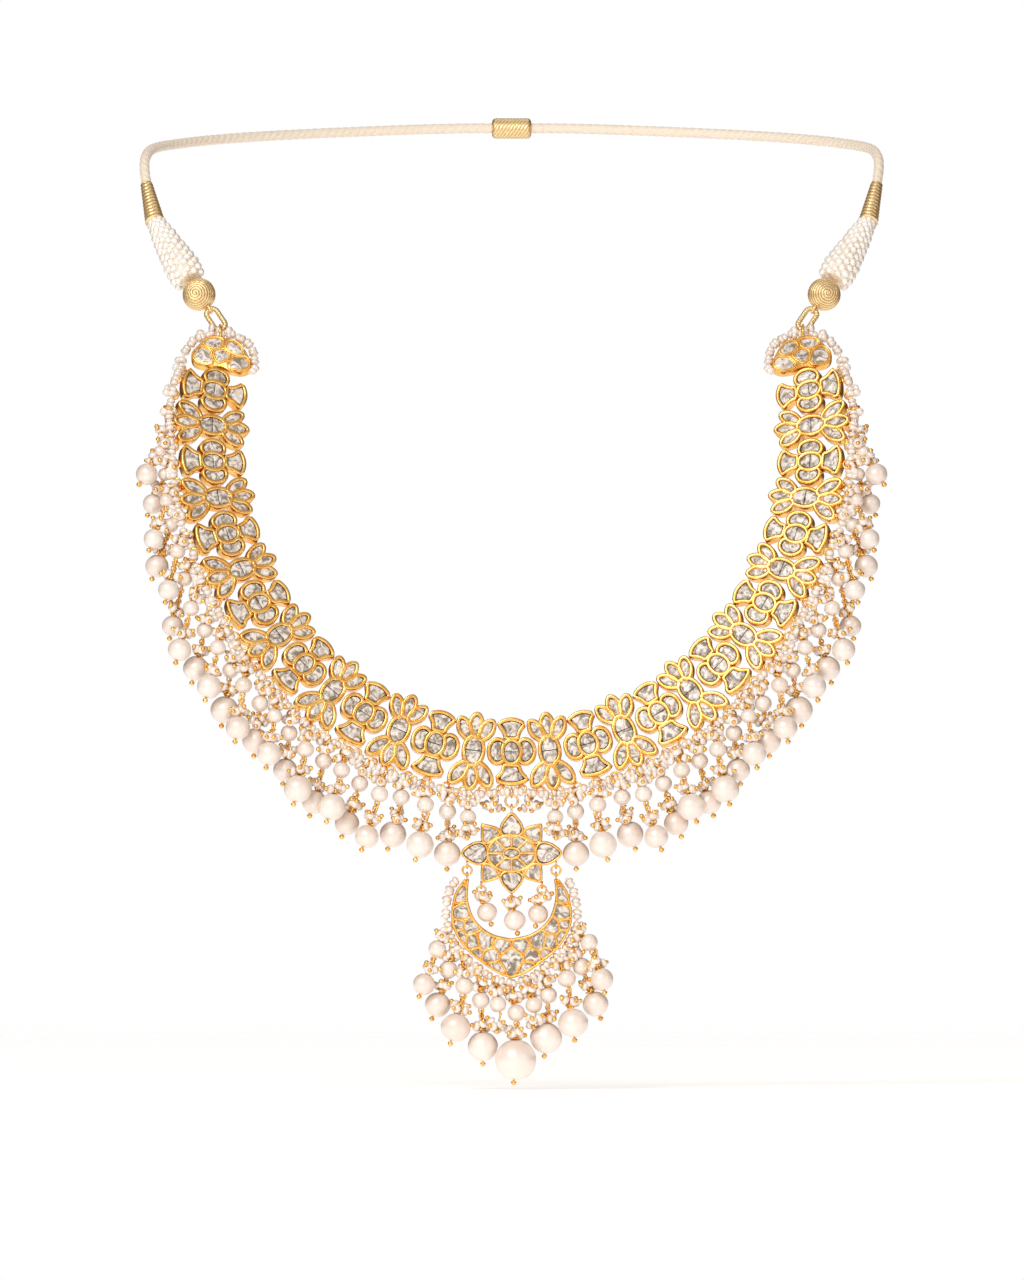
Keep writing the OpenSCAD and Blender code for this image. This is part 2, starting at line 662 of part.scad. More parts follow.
module crescent_wires() {
    color(gold)
        for (d = CRESCENT_DROPS) {
            p = crescent_at(d[0]);
            w = crescent_way(d[0]);
            translate(crescent_point(p + [w[1], -w[0]] * ring_low)) rotate([90, 0, 0])
                rotate([0, 0, atan2(w[1], w[0])]) rotate([0, ring_yaw, 0]) ring(ring_r, ring_wire);
            drop_pin(crescent_foot(d[0]), crescent_upper(d), d[3], crescent_lower(d), d[6]);
        }
}

// The cord side

function place(p) = spot(p[0], p[1]);

bail_top = on_cap([bail_x, bail_y + bail_r, -plaque_t / 2]);
ball_centre = place(BALL_AT);
chain_way = unit(ball_centre - bail_top);
eye_r = 1.1;
eye_wire = 0.35;
eye_out = 0.6;
eye_at = ball_centre - chain_way * (wound_r + eye_out);
link_wire = 0.55;
link_half = 1.45;
link_from = bail_top - chain_way * (bail_wire + link_wire + link_gap);
link_to = eye_at - chain_way * (eye_r - eye_wire - link_wire - link_gap);

// Turns +Y to point along the chain, with +Z to the front
module along_chain() {
    swing = atan2(chain_way[0], norm([chain_way[1], chain_way[2]]));
    back = atan2(chain_way[1], chain_way[2]);
    rotate([90 - back, 0, 0]) rotate([0, 0, -swing]) children();
}

// The long link: two straight wires joined by round ends, seen from the front
module cap_link() {
    d = link_to - link_from;
    color(gold) translate(link_from) along_chain() {
        for (s = [-1, 1])
            translate([s * link_half, link_half, 0]) rotate([-90, 0, 0])
                cylinder(r = link_wire, h = norm(d) - 2 * link_half, $fn = 24);
        translate([0, link_half, 0]) rotate([0, 0, 180])
            rotate_extrude(angle = 180, $fn = 32) translate([link_half, 0]) circle(r = link_wire, $fn = 16);
        translate([0, norm(d) - link_half, 0])
            rotate_extrude(angle = 180, $fn = 32) translate([link_half, 0]) circle(r = link_wire, $fn = 16);
    }
}

// A ball of wound thread, ribbed round its axis, with an eye for the link
module wound_ball() {
    ribs = 20;
    rib_depth = 0.15;
    profile = [
        for (k = [0:ribs])
            let (a = 180 * k / ribs, r = wound_r - (k % 2) * rib_depth)
            [r * sin(a), -r * cos(a)]
    ];
    color(gold) {
        translate(ball_centre) along_chain() rotate([-90, 0, 0]) rotate_extrude() polygon(profile);
        translate(eye_at) along_chain() rotate([0, 90, 0]) ring(eye_r, eye_wire);
    }
}

// The bundle ends in a round head, and the wrap is hollowed to sit over it
function arc(r, from, to, steps) =
    [for (k = [0:steps]) let (a = from + (to - from) * k / steps) r * [cos(a), sin(a)]];

// Side of the bundle. Columns: share of its lower radius, share of its length.
BUNDLE_SIDE = [[0, 0], [0.8, 0], [1, 0.08], [1, 0.25], [0.86, 0.5], [0.68, 0.78]];

module bead_bundle() {
    from = place(BUNDLE_FROM);
    to = place(BUNDLE_TO);
    l = norm(to - from);
    side = [for (p = BUNDLE_SIDE) [p[0] * bundle_r, p[1] * l]];
    head = [for (p = arc(wrap_r, 0, 90, 6)) p + [0, l]];
    color(cream) aimed(from, to) rotate_extrude() polygon(concat(side, head));
}

// Gold thread wound round the strings, ribbed along its length
wrap_way = unit(place(WRAP_TO) - place(BUNDLE_TO));

module thread_wrap() {
    from = place(BUNDLE_TO);
    l = norm(place(WRAP_TO) - from);
    turns = 8;
    base = 1;
    rib_depth = 0.2;
    head_gap = 0.15;
    lip = 23;
    ribs = [
        for (k = [0:2 * turns])
            let (t = k / (2 * turns))
            [wrap_r + rib_depth / 2 + (wrap_end_r - wrap_r) * t - (k % 2) * rib_depth, base + t * (l - base)]
    ];
    hollow = arc(wrap_r + head_gap, 90, lip, 6);
    color(gold) aimed(from, place(WRAP_TO)) rotate_extrude() polygon(concat(hollow, ribs, [[0, l]]));
}

module back_cord() {
    wrap_gap = 0.2;
    half = smooth(concat([place(WRAP_TO) + wrap_gap * wrap_way], CORD_ROUTE), 2);
    other = [for (p = backwards(half)) [-p[0], p[1], p[2]]];
    color(cream) tube(concat(half, without_first(other)), cord_r);
}

module cord_slider() {
    half = slider_l / 2;
    bore = cord_r + 0.2;
    end = [0.7, 0.9];
    color(gold) translate([0, slider_r, 0]) rotate([0, 90, 0]) rotate_extrude()
        polygon([[bore, -half], [slider_r - end[0], -half], [slider_r, end[1] - half],
            [slider_r, half - end[1]], [slider_r - end[0], half], [bore, half]]);
}

middle_plaque();  // plaque_c
left() plaque(1);  // plaque_l01
left() plaque(2);  // plaque_l02
left() plaque(3);  // plaque_l03
left() plaque(4);  // plaque_l04
left() plaque(5);  // plaque_l05
left() plaque(6);  // plaque_l06
left() plaque(7);  // plaque_l07
left() plaque(8);  // plaque_l08
left() plaque(9);  // plaque_l09
left() plaque(10);  // plaque_l10
left() plaque(11);  // plaque_l11
left() plaque(12);  // plaque_l12
left() plaque(13);  // plaque_l13
left() plaque(14);  // plaque_l14
plaque(1);  // plaque_r01
plaque(2);  // plaque_r02
plaque(3);  // plaque_r03
plaque(4);  // plaque_r04
plaque(5);  // plaque_r05
plaque(6);  // plaque_r06
plaque(7);  // plaque_r07
plaque(8);  // plaque_r08
plaque(9);  // plaque_r09
plaque(10);  // plaque_r10
plaque(11);  // plaque_r11
plaque(12);  // plaque_r12
plaque(13);  // plaque_r13
plaque(14);  // plaque_r14
left() end_cap();  // end_cap_l
end_cap();  // end_cap_r
left() stones(1);  // stones_left
stones(0);  // stones_right
left() edge_thread();  // edge_thread_left
edge_thread();  // edge_thread_right
left() fringe_pearls();  // fringe_pearls_left
fringe_pearls();  // fringe_pearls_right
left() fringe_wires();  // fringe_wires_left
fringe_wires();  // fringe_wires_right
hanging_ring();
star_setting();
star_stones();
star_pearls();
star_wires();
crescent_rings();
crescent_setting();
crescent_stones();
crescent_thread();
crescent_pearls();
crescent_wires();
left() cap_link();  // cap_link_left
cap_link();  // cap_link_right
left() wound_ball();  // wound_ball_left
wound_ball();  // wound_ball_right
left() bead_bundle();  // bead_bundle_left
bead_bundle();  // bead_bundle_right
left() thread_wrap();  // thread_wrap_left
thread_wrap();  // thread_wrap_right
back_cord();
cord_slider();
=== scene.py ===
# A kundan necklace, hanging as it does when worn.
# A collar of pierced gold plaques set with flat-cut stones carries a fringe of pearls, a star and
# a crescent. Bundles of seed beads and a silk cord close the loop behind the neck.
from collections import namedtuple

import bpy
import numpy as np
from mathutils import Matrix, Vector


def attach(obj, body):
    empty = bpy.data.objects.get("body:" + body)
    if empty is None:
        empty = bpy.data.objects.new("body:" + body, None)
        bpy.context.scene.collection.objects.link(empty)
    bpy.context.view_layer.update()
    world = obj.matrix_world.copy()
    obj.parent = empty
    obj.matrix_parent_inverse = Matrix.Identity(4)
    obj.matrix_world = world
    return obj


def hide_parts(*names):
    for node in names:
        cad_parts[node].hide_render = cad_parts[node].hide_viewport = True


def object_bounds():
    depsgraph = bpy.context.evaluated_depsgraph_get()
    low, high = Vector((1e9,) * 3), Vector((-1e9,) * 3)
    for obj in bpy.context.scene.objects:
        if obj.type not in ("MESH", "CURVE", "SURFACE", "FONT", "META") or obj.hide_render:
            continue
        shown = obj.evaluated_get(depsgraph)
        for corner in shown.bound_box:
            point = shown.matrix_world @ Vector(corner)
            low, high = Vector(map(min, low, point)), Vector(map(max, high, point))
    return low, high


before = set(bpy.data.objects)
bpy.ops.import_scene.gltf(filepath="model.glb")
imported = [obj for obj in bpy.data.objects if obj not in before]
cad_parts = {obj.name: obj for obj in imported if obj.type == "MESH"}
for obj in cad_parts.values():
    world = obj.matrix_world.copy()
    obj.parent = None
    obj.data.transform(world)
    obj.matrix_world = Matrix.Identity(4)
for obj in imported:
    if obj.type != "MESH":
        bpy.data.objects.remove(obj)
cad_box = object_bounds()

# Camera
# The picture is taken level and straight on, from so far away that the necklace shows almost
# without perspective. The frame is 256 mm wide and 320 mm high at the collar.
PICTURE_CENTRE = (0.0001, -0.1305)
PICTURE_HEIGHT = 0.32
CAMERA_DISTANCE = 6.0
COLLAR_DEPTH = -0.12
SENSOR = 24.0

lens = bpy.data.cameras.new("camera")
lens.sensor_fit = "VERTICAL"
lens.sensor_height = SENSOR
lens.lens = SENSOR * CAMERA_DISTANCE / PICTURE_HEIGHT
lens.clip_end = 40
camera = bpy.data.objects.new("camera", lens)
camera.location = (PICTURE_CENTRE[0], COLLAR_DEPTH - CAMERA_DISTANCE, PICTURE_CENTRE[1])
camera.rotation_euler = (np.pi / 2, 0, 0)
bpy.context.collection.objects.link(camera)
bpy.context.scene.camera = camera

# Floor and light
# A pale floor lies just under the largest pearl and fades into a white surround. A large soft
# light stands at the upper left, a smaller one at the right, one behind and a low one in front.
FLOOR_BELOW = 0.0012
FLOOR_HALF = 1.4
FLOOR_FADE = (0.22, 1.1)
FLOOR_GLOW = 0.55
WHITE = (1, 1, 1, 1)
# Columns: place, half side, power, colour
LIGHTS = [
    ((-0.5, -1.15, 0.7), 0.32, 8.6, (1.0, 0.985, 0.96)),
    ((0.95, -0.8, 0.2), 0.16, 1.1, (1.0, 0.96, 0.92)),
    ((0.1, 0.55, 1.1), 0.4, 2.0, (1.0, 0.98, 0.95)),
    ((0.0, -1.3, -0.12), 0.12, 0.4, (1.0, 0.97, 0.94)),
]
LIGHT_AIM = np.array([0, -0.11, -0.13])
# The way to the room's brightest side, the range over which the room brightens towards it, and
# the room's colours
ROOM_WINDOW = (-0.25, -0.85, 0.46)
ROOM_FADE = (-0.25, 0.9)
ROOM_DIM = (0.12, 0.07, 0.045, 1)
ROOM_BRIGHT = (0.70, 0.68, 0.66, 1)


def put(tree, kind, settings=None, **sockets):
    """Adds a shader node. A value goes to the socket of that name, and a socket is linked to it."""
    made = tree.nodes.new(kind)
    for key, value in (settings or {}).items():
        setattr(made, key, value)
    for key, value in sockets.items():
        socket = made.inputs[key.replace("_", " ")]
        if isinstance(value, bpy.types.NodeSocket):
            tree.links.new(value, socket)
        else:
            socket.default_value = value
    return made


def mixed(tree, share, first, second):
    """A colour between two others, by a share from 0 to 1."""
    made = put(tree, "ShaderNodeMix", {"data_type": "RGBA"})
    for socket, value in zip((made.inputs[0], made.inputs[6], made.inputs[7]), (share, first, second)):
        if isinstance(value, bpy.types.NodeSocket):
            tree.links.new(value, socket)
        else:
            socket.default_value = value
    return made.outputs[2]


def ranged(tree, value, low, high, kind="LINEAR", **more):
    """A value's share of the way from low to high, or the same part of another range."""
    made = put(tree, "ShaderNodeMapRange", {"interpolation_type": kind}, Value=value,
               From_Min=low, From_Max=high, **more)
    return made.outputs["Result"]


def new_material(name):
    """An empty material with its output node."""
    made = bpy.data.materials.new(name)
    made.use_nodes = True
    made.node_tree.nodes.clear()
    return made, made.node_tree, made.node_tree.nodes.new("ShaderNodeOutputMaterial")


def floor_paper():
    """White paper with a faint sheen and a soft glow, clear towards its rim."""
    made, tree, output = new_material("floor_paper")
    place = put(tree, "ShaderNodeTexCoord").outputs["Object"]
    away = put(tree, "ShaderNodeVectorMath", {"operation": "LENGTH"}, Vector=place).outputs["Value"]
    matt = put(tree, "ShaderNodeBsdfDiffuse", Color=(0.93, 0.92, 0.91, 1))
    gloss = put(tree, "ShaderNodeBsdfGlossy", Color=WHITE, Roughness=0.12)
    glow = put(tree, "ShaderNodeEmission", Color=WHITE, Strength=FLOOR_GLOW)
    clear = put(tree, "ShaderNodeBsdfTransparent")
    paper = put(tree, "ShaderNodeMixShader", Fac=0.2)
    lit = tree.nodes.new("ShaderNodeAddShader")
    shown = put(tree, "ShaderNodeMixShader", Fac=ranged(tree, away, *FLOOR_FADE, "SMOOTHSTEP"))
    for source, target in (
        (matt, paper.inputs[1]), (gloss, paper.inputs[2]), (paper, lit.inputs[0]), (glow, lit.inputs[1]),
        (lit, shown.inputs[1]), (clear, shown.inputs[2]), (shown, output.inputs["Surface"]),
    ):
        tree.links.new(source.outputs[0], target)
    return made


corner = FLOOR_HALF * np.array([(-1, -1, 0), (1, -1, 0), (1, 1, 0), (-1, 1, 0)])
floor_mesh = bpy.data.meshes.new("floor")
floor_mesh.from_pydata(corner.tolist(), [], [(0, 1, 2, 3)])
floor_mesh.materials.append(floor_paper())
floor = bpy.data.objects.new("floor", floor_mesh)
floor.location = (0, COLLAR_DEPTH, cad_box[0][2] - FLOOR_BELOW)
bpy.context.collection.objects.link(floor)

for place, half_side, power, colour in LIGHTS:
    lamp = bpy.data.lights.new("soft_light", "AREA")
    lamp.size = 2 * half_side
    lamp.energy = power
    lamp.color = colour
    x, y, z = LIGHT_AIM - np.array(place)
    made = bpy.data.objects.new("soft_light", lamp)
    made.location = place
    made.rotation_euler = (np.arctan2(np.hypot(x, y), -z), 0, np.arctan2(y, x) - np.pi / 2)
    bpy.context.collection.objects.link(made)

world = bpy.data.worlds.new("surround")
world.use_nodes = True
sky = world.node_tree
sky.nodes.clear()
way = put(sky, "ShaderNodeVectorMath", {"operation": "DOT_PRODUCT"},
          Vector=put(sky, "ShaderNodeTexCoord").outputs["Generated"])
way.inputs[1].default_value = ROOM_WINDOW
walls = mixed(sky, ranged(sky, way.outputs["Value"], *ROOM_FADE, "SMOOTHSTEP"), ROOM_DIM, ROOM_BRIGHT)
seen = put(sky, "ShaderNodeLightPath").outputs["Is Camera Ray"]
sky.links.new(put(sky, "ShaderNodeBackground", Color=mixed(sky, seen, walls, WHITE)).outputs[0],
              sky.nodes.new("ShaderNodeOutputWorld").inputs["Surface"])
bpy.context.scene.world = world
bpy.context.scene.view_settings.view_transform = "Standard"

# Plaques
# The collar is a row of small pierced plaques of high-carat gold, a quatrefoil and a flower in
# turn. Each stone sits in a closed cup of sheet gold, whose burnished rim stands over the stone,
# and the cups are soldered side by side.
MM = 0.001
NECK_DEPTH = 120
BAND_DROP = 158.4
LEAN = 370
# A plaque's dish at the foot of the collar, and how much more it is where the band runs upright,
# in degrees
DISH_LOW = 8
DISH_MORE = 11
PLAQUE_T = 3.2
RIM = 1.04
RING_WIRE = 0.25
# Points round a cup's outline and round a plate's
CUP_STEPS = 36
PLATE_STEPS = 96
# Places of the plaques' centres from the lowest one to the last, then the end cap.
# Columns: distance from the middle, height.
PLACES = np.array([
    (0, 0), (9.5, 0.4), (19.1, 2.1), (28.1, 5.6), (36.8, 9.8), (44.6, 15.4), (51.7, 22),
    (57.9, 29.4), (63.1, 37.4), (67.4, 45.9), (71, 54.7), (73.3, 63.8), (74.6, 72.9),
    (74.9, 82), (74.4, 90.9), (73, 98.9)
])
CAP = len(PLACES) - 1
# Cells of a plaque: x, y towards the neck, half width, half length, turn, spread, squareness
OVAL = (0, 0, 2.0, 2.7, 0, 0, 1)
# The half-moons at the sides of a quatrefoil's oval: middle, half width, half length, and the
# half sizes of the oval's ring, which they hug
MOON = (3.42, 0.2, 2.0, 2.72)
OVAL_RING = (2.75, 3.45)
# The fans above and below: height of the narrow end and of the corners, half widths there, arch
FANS = [(3.7, 6.95, 1.25, 2.85, 0.95), (-3.65, -6.85, 1.65, 3.55, -0.85)]
FAN_CURVE = 2.0
FLOWER = [
    (0, 0, 1.95, 3.25, 0, 0, 1),
    (0, 6.25, 1.05, 2.25, 0, 0.15, 1.1),
    (2.6, 5.25, 1, 2.2, -29, 0.15, 1.1),
    (-2.6, 5.25, 1, 2.2, 29, 0.15, 1.1),
    (0, -6.5, 1.05, 2.35, 180, 0.15, 1.1),
    (3, -5.6, 1.1, 2.65, -146, 0.15, 1.1),
    (-3, -5.6, 1.1, 2.65, 146, 0.15, 1.1),
]
PETAL_TIP = 0.35
# Sheets of gold that fill the flower between its petals, as one side's points from the neck end
WEBS = [
    [(0, 8.3), (1.5, 7.9), (2.9, 7.5), (4.0, 6.4), (3.3, 3.7), (1.2, 3.1), (0, 3.0)],
    [(0, -3.0), (1.2, -3.1), (3.0, -3.4), (4.7, -6.8), (3.2, -7.7), (1.6, -8.2), (0, -8.5)],
]
WEB_TOP = -0.5
WEB_ROUND = 0.2
# The rim laps over the edge of its stone by INSET, and CUP_WALL is its width
STONE_EDGE = 0.2
INSET = 0.13
CUP_WALL = RIM - STONE_EDGE + INSET
# How far the back of a cup or sheet that is set into a plate lies inside the plate's back
BACK_IN = 0.1
# A cup's section: share of the way from the middle, share of the rim's width from the stone out
# to the wall, and height, which is above the back in the first table and from the front in the
# second
CUP_BACK = [(0.5, 0.88, 0.02), (0.94, 0.84, 0.05), (1, 0.9, 0.16), (1, 1, 0.5)]
CUP_RIM = [
    (1, 1, -1.05), (1, 0.99, -0.6), (1, 0.96, -0.32), (1, 0.86, -0.12), (1, 0.7, -0.03), (1, 0.5, 0),
    (1, 0.3, -0.02), (1, 0.13, -0.08), (1, 0.04, -0.2), (1, 0, -0.4), (1, -0.02, -1.25), (0.5, -0.02, -1.3),
]
LOOP_R = 1.2
LOOP_Y = -10.15

Shape = namedtuple("Shape", "points quads tris mark")


def shell(rings, first_pole, last_pole, mark=None):
    """A closed surface: rings of points one after the other, each joined to the next, with a
    fan of triangles from the first ring to one pole and from the last ring to the other."""
    rows, around = rings.shape[:2]
    points = np.vstack([rings.reshape(-1, 3), first_pole, last_pole])
    step = np.arange(around)
    after = (step + 1) % around
    low = np.arange(rows - 1)[:, None] * around
    high = low + around
    quads = np.stack([low + step, low + after, high + after, high + step], -1).reshape(-1, 4)
    last = (rows - 1) * around
    first_fan = np.stack([after, step, np.full(around, rows * around)], -1)
    last_fan = np.stack([last + step, last + after, np.full(around, rows * around + 1)], -1)
    mark = np.zeros(len(points)) if mark is None else mark
    return Shape(points, quads, np.vstack([first_fan, last_fan]), mark)


def joined(shapes):
    """Several shapes as one, with their faces counted on."""
    shapes = list(shapes)
    start = np.cumsum([0] + [len(s.points) for s in shapes])
    return Shape(
        np.vstack([s.points for s in shapes]),
        np.vstack([s.quads + k for s, k in zip(shapes, start)]),
        np.vstack([s.tris + k for s, k in zip(shapes, start)]),
        np.concatenate([s.mark for s in shapes]),
    )


def copies(shape, centres, frames, marks=None):
    """A shape set down at each centre, turned and sized by the three columns of each frame."""
    count, size = len(centres), len(shape.points)
    points = np.einsum("nij,kj->nki", frames, shape.points) + centres[:, None]
    start = (np.arange(count) * size)[:, None, None]
    mark = np.tile(shape.mark, count) if marks is None else np.repeat(marks, size)
    return Shape(points.reshape(-1, 3), (shape.quads + start).reshape(-1, 4),
                 (shape.tris + start).reshape(-1, 3), mark)


def mirrored(shape):
    """The same shape on the necklace's other side, with its faces turned back outwards."""
    return Shape(shape.points * (-1, 1, 1), shape.quads[:, ::-1], shape.tris[:, ::-1], shape.mark)


def made_of(name, shape, material, body="collar", nodes=(), smooth=True):
    """The piece that a shape in millimetres makes: its mesh, material, slot, body and nodes."""
    quads, tris = len(shape.quads), len(shape.tris)
    corners = np.concatenate([shape.quads.ravel(), shape.tris.ravel()])
    starts = np.concatenate([np.arange(quads) * 4, quads * 4 + np.arange(tris) * 3])
    mesh = bpy.data.meshes.new(name)
    mesh.vertices.add(len(shape.points))
    mesh.vertices.foreach_set("co", (shape.points * MM).astype(np.float32).ravel())
    mesh.loops.add(len(corners))
    mesh.loops.foreach_set("vertex_index", corners.astype(np.int32))
    mesh.polygons.add(len(starts))
    mesh.polygons.foreach_set("loop_start", starts.astype(np.int32))
    mesh.polygons.foreach_set("use_smooth", np.full(len(starts), smooth))
    mesh.attributes.new("mark", "FLOAT", "POINT").data.foreach_set("value", shape.mark.astype(np.float32))
    mesh.materials.append(material)
    mesh.update(calc_edges=True)
    mesh.validate()
    piece = bpy.data.objects.new(name, mesh)
    bpy.context.collection.objects.link(piece)
    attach(piece, body)
    if nodes:
        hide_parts(*nodes)


def made_both(name, shape, material, node="", words=("right", "left")):
    """A piece and its mirror image on the left. The side's word takes the place of the star in
    the piece's name and in its node's."""
    for word, turned in zip(words, (shape, mirrored(shape))):
        nodes = [node.replace("*", word)] if node else ()
        made_of(name.replace("*", word), turned, material, nodes=nodes)


def depth(h):
    """How far back the collar is at a height: it leans back along a parabola."""
    return np.maximum(h, 0) ** 2 / LEAN - NECK_DEPTH


def slope(h):
    """The collar's lean at a height, in degrees from upright."""
    return np.degrees(np.arctan(2 * np.maximum(h, 0) / LEAN))


def spot(x, h):
    """The point of the collar at a distance from the middle and a height."""
    return np.array([x, depth(h), h - BAND_DROP])


def heading(i):
    """The collar's heading at a plaque, from the plaque before it to the one after it."""
    if i == CAP:
        return 90.0
    before = PLACES[i - 1] if i else PLACES[1] * (-1, 1)
    after = PLACES[min(i + 1, CAP)]
    rise = (after[1] - before[1]) / np.cos(np.radians(slope(PLACES[i, 1])))
    return np.degrees(np.arctan2(rise, after[0] - before[0]))


def dish(a):
    """How far a plaque's outer edge stands forward of its inner edge, as an angle."""
    return DISH_LOW + DISH_MORE * np.sin(np.radians(a))


def turn_x(a):
    """The matrix of a turn about X, in degrees."""
    c, s = np.cos(np.radians(a)), np.sin(np.radians(a))
    return np.array([(1, 0, 0), (0, c, -s), (0, s, c)])


def turn_z(a):
    """The matrix of a turn about Z, in degrees."""
    c, s = np.cos(np.radians(a)), np.sin(np.radians(a))
    return np.array([(c, -s, 0), (s, c, 0), (0, 0, 1)])


def plaque_frame(i):
    """A plaque's place and its turn: across the band, towards the neck and out to the front."""
    x, h = PLACES[i]
    a = heading(i)
    tilt = turn_x(-dish(a)) if i < CAP else np.eye(3)
    along = turn_z(a) if i < CAP else np.eye(3)
    return spot(x, h), turn_x(90 - slope(h)) @ along @ tilt


def placed(shape, where):
    """A shape moved from its own frame to its place."""
    place, turn = where
    return shape._replace(points=shape.points @ turn.T + place)


def squared(value, power):
    """A sine or cosine raised to a power with its sign kept, which squares an ellipse."""
    return np.sign(value) * np.abs(value) ** power


def turns(count):
    """Angles at even steps once round a circle."""
    return np.linspace(0, 2 * np.pi, count, endpoint=False)


def unit(ways):
    """Ways made one long."""
    return ways / np.linalg.norm(ways, axis=-1, keepdims=True)


def cell_outline(cell, grow, tip=0.0):
    """The outline of a cell: an ellipse squared by the cosine's and sine's power, spread towards
    one end and drawn out there to a tip, turned and set in place. It is wider by grow."""
    x, y, half_w, half_l, turn, spread, power = cell
    a = turns(CUP_STEPS)
    u = squared(np.cos(a), power) * (1 + spread * np.sin(a)) * (half_w + grow)
    v = squared(np.sin(a), power) * (half_l + grow)
    v = v + tip * np.maximum(np.sin(a), 0) ** 6
    c, s = np.cos(np.radians(turn)), np.sin(np.radians(turn))
    return np.stack([x + u * c - v * s, y + u * s + v * c], -1)


def grown(outline, by):
    """An outline made wider: each point moves out along the normal of the line between its
    neighbours."""
    way = np.roll(outline, -1, axis=0) - np.roll(outline, 1, axis=0)
    return outline + by * unit(np.column_stack([way[:, 1], -way[:, 0]]))


def level(flat, z):
    """The points of a flat outline at a height."""
    return np.column_stack([flat, np.full(len(flat), z)])


def cup(outline, thickness, wall):
    """A stone's cup: an outline carried along the cup's section, from the middle of its back out,
    up the wall, over the rim and down to the bed of the stone. It is wider by wall outside."""
    middle = outline.mean(axis=0)
    rows = [(share, g, z - thickness) for share, g, z in CUP_BACK] + CUP_RIM
    rings = [level(middle + share * (grown(outline, g * wall) - middle), z) for share, g, z in rows]
    return shell(np.stack(rings), (*middle, -thickness), (*middle, rows[-1][2]))


def run_of(line):
    """The distance along a line at each of its points."""
    return np.concatenate([[0], np.cumsum(np.linalg.norm(np.diff(line, axis=0), axis=1))])


def points_along(line, distances):
    """The points of a line at given distances along it."""
    run = run_of(line)
    return np.column_stack([np.interp(distances, run, line[:, k]) for k in range(line.shape[1])])


def evenly_round(outline, steps=CUP_STEPS):
    """A closed outline with points at even steps along it."""
    closed = np.vstack([outline, outline[:1]])
    return points_along(closed, np.linspace(0, run_of(closed)[-1], steps, endpoint=False))


def room(points, outline):
    """How far points lie inside an outline: the least distance to its sides, positive inside,
    where a line to the right crosses the outline an odd number of times."""
    a, b = outline, np.roll(outline, -1, axis=0)
    side = b - a
    to = points[:, None] - a
    t = np.clip((to * side).sum(-1) / (side ** 2).sum(-1), 0, 1)
    near = np.linalg.norm(to - t[..., None] * side, axis=-1).min(axis=1)
    spans = (a[:, 1] > points[:, 1:]) != (b[:, 1] > points[:, 1:])
    crossing = a[:, 0] + to[..., 1] * side[:, 0] / np.where(side[:, 1] == 0, 1e-9, side[:, 1])
    inside = (spans & (points[:, :1] < crossing)).sum(axis=1) % 2 == 1
    return np.where(inside, near, -near)


def packed(cells, outline, wall, band, reach=1.7, steps=110, passes=2):
    """Outlines of cells that fill a plate. From each cell's middle a line runs out in every
    direction until it comes within half a wall of where another cell is nearer, or within a
    band of the plate's edge. Nearness is by the cells' own squared ellipses."""
    a = turns(CUP_STEPS)
    share = np.linspace(0.1, reach, steps)
    table = np.array(cells)
    far = np.maximum(table[:, 2], table[:, 3])[:, None, None] * share
    way = np.stack([np.cos(a), np.sin(a)], -1)[None, :, None, :]
    points = table[:, None, None, :2] + far[..., None] * way
    flat = points.reshape(-1, 2)
    near = []
    for x, y, half_w, half_l, turn, spread, power in cells:
        c, s = np.cos(np.radians(turn)), np.sin(np.radians(turn))
        across, along = (flat - (x, y)) @ (c, s), (flat - (x, y)) @ (-s, c)
        v = along / half_l
        u = across / half_w / (1 + spread * np.clip(v, -1, 1))
        size = (np.abs(u) ** (2 / power) + np.abs(v) ** (2 / power)) ** (power / 2)
        near.append((size - 1) * min(half_w, half_l))
    near = np.stack(near).reshape(len(cells), *far.shape[:1], CUP_STEPS, steps)
    clear = room(flat, outline).reshape(near.shape[1:]) > band
    found = []
    for k, cell in enumerate(cells):
        others = np.delete(near[:, k], k, axis=0).min(axis=0)
        free = clear[k] & (near[k, k] + wall < others)
        last = np.cumprod(free, axis=1).sum(axis=1)
        radius = far[k, 0, np.clip(last - 1, 0, steps - 1)]
        for _ in range(passes):
            radius = (np.roll(radius, 1) + 2 * radius + np.roll(radius, -1)) / 4
        line = np.array(cell[:2]) + radius[:, None] * way[0, :, 0]
        found.append(evenly_round(line))
    return found


def torus(centre, axis, radius, wire, around=24, sides=8):
    """A round ring of round wire: a small circle carried round a large one."""
    axis = unit(np.array(axis, float))
    side = unit(np.cross(axis, (0, 0, 1) if abs(axis[2]) < 0.8 else (0, 1, 0)))
    a, b = turns(around)[:, None, None], turns(sides)[None, :, None]
    out = np.cos(a) * side + np.sin(a) * np.cross(axis, side)
    points = np.array(centre) + (radius + wire * np.cos(b)) * out + wire * np.sin(b) * axis
    step, turn = np.arange(around)[:, None] * sides, np.arange(sides)
    after, beside = np.roll(step, -1, axis=0), np.roll(turn, -1)
    quads = np.stack([step + turn, after + turn, after + beside, step + beside], -1).reshape(-1, 4)
    return Shape(points.reshape(-1, 3), quads, np.zeros((0, 3), int), np.zeros(around * sides))


def noise(tree, scale, detail, place=None, distortion=0.0):
    """Cloudy noise at a place, or else on the piece's own coordinates."""
    if place is None:
        place = put(tree, "ShaderNodeTexCoord").outputs["Object"]
    made = put(tree, "ShaderNodeTexNoise", Vector=place, Scale=scale, Detail=detail, Distortion=distortion)
    return made.outputs["Fac"]


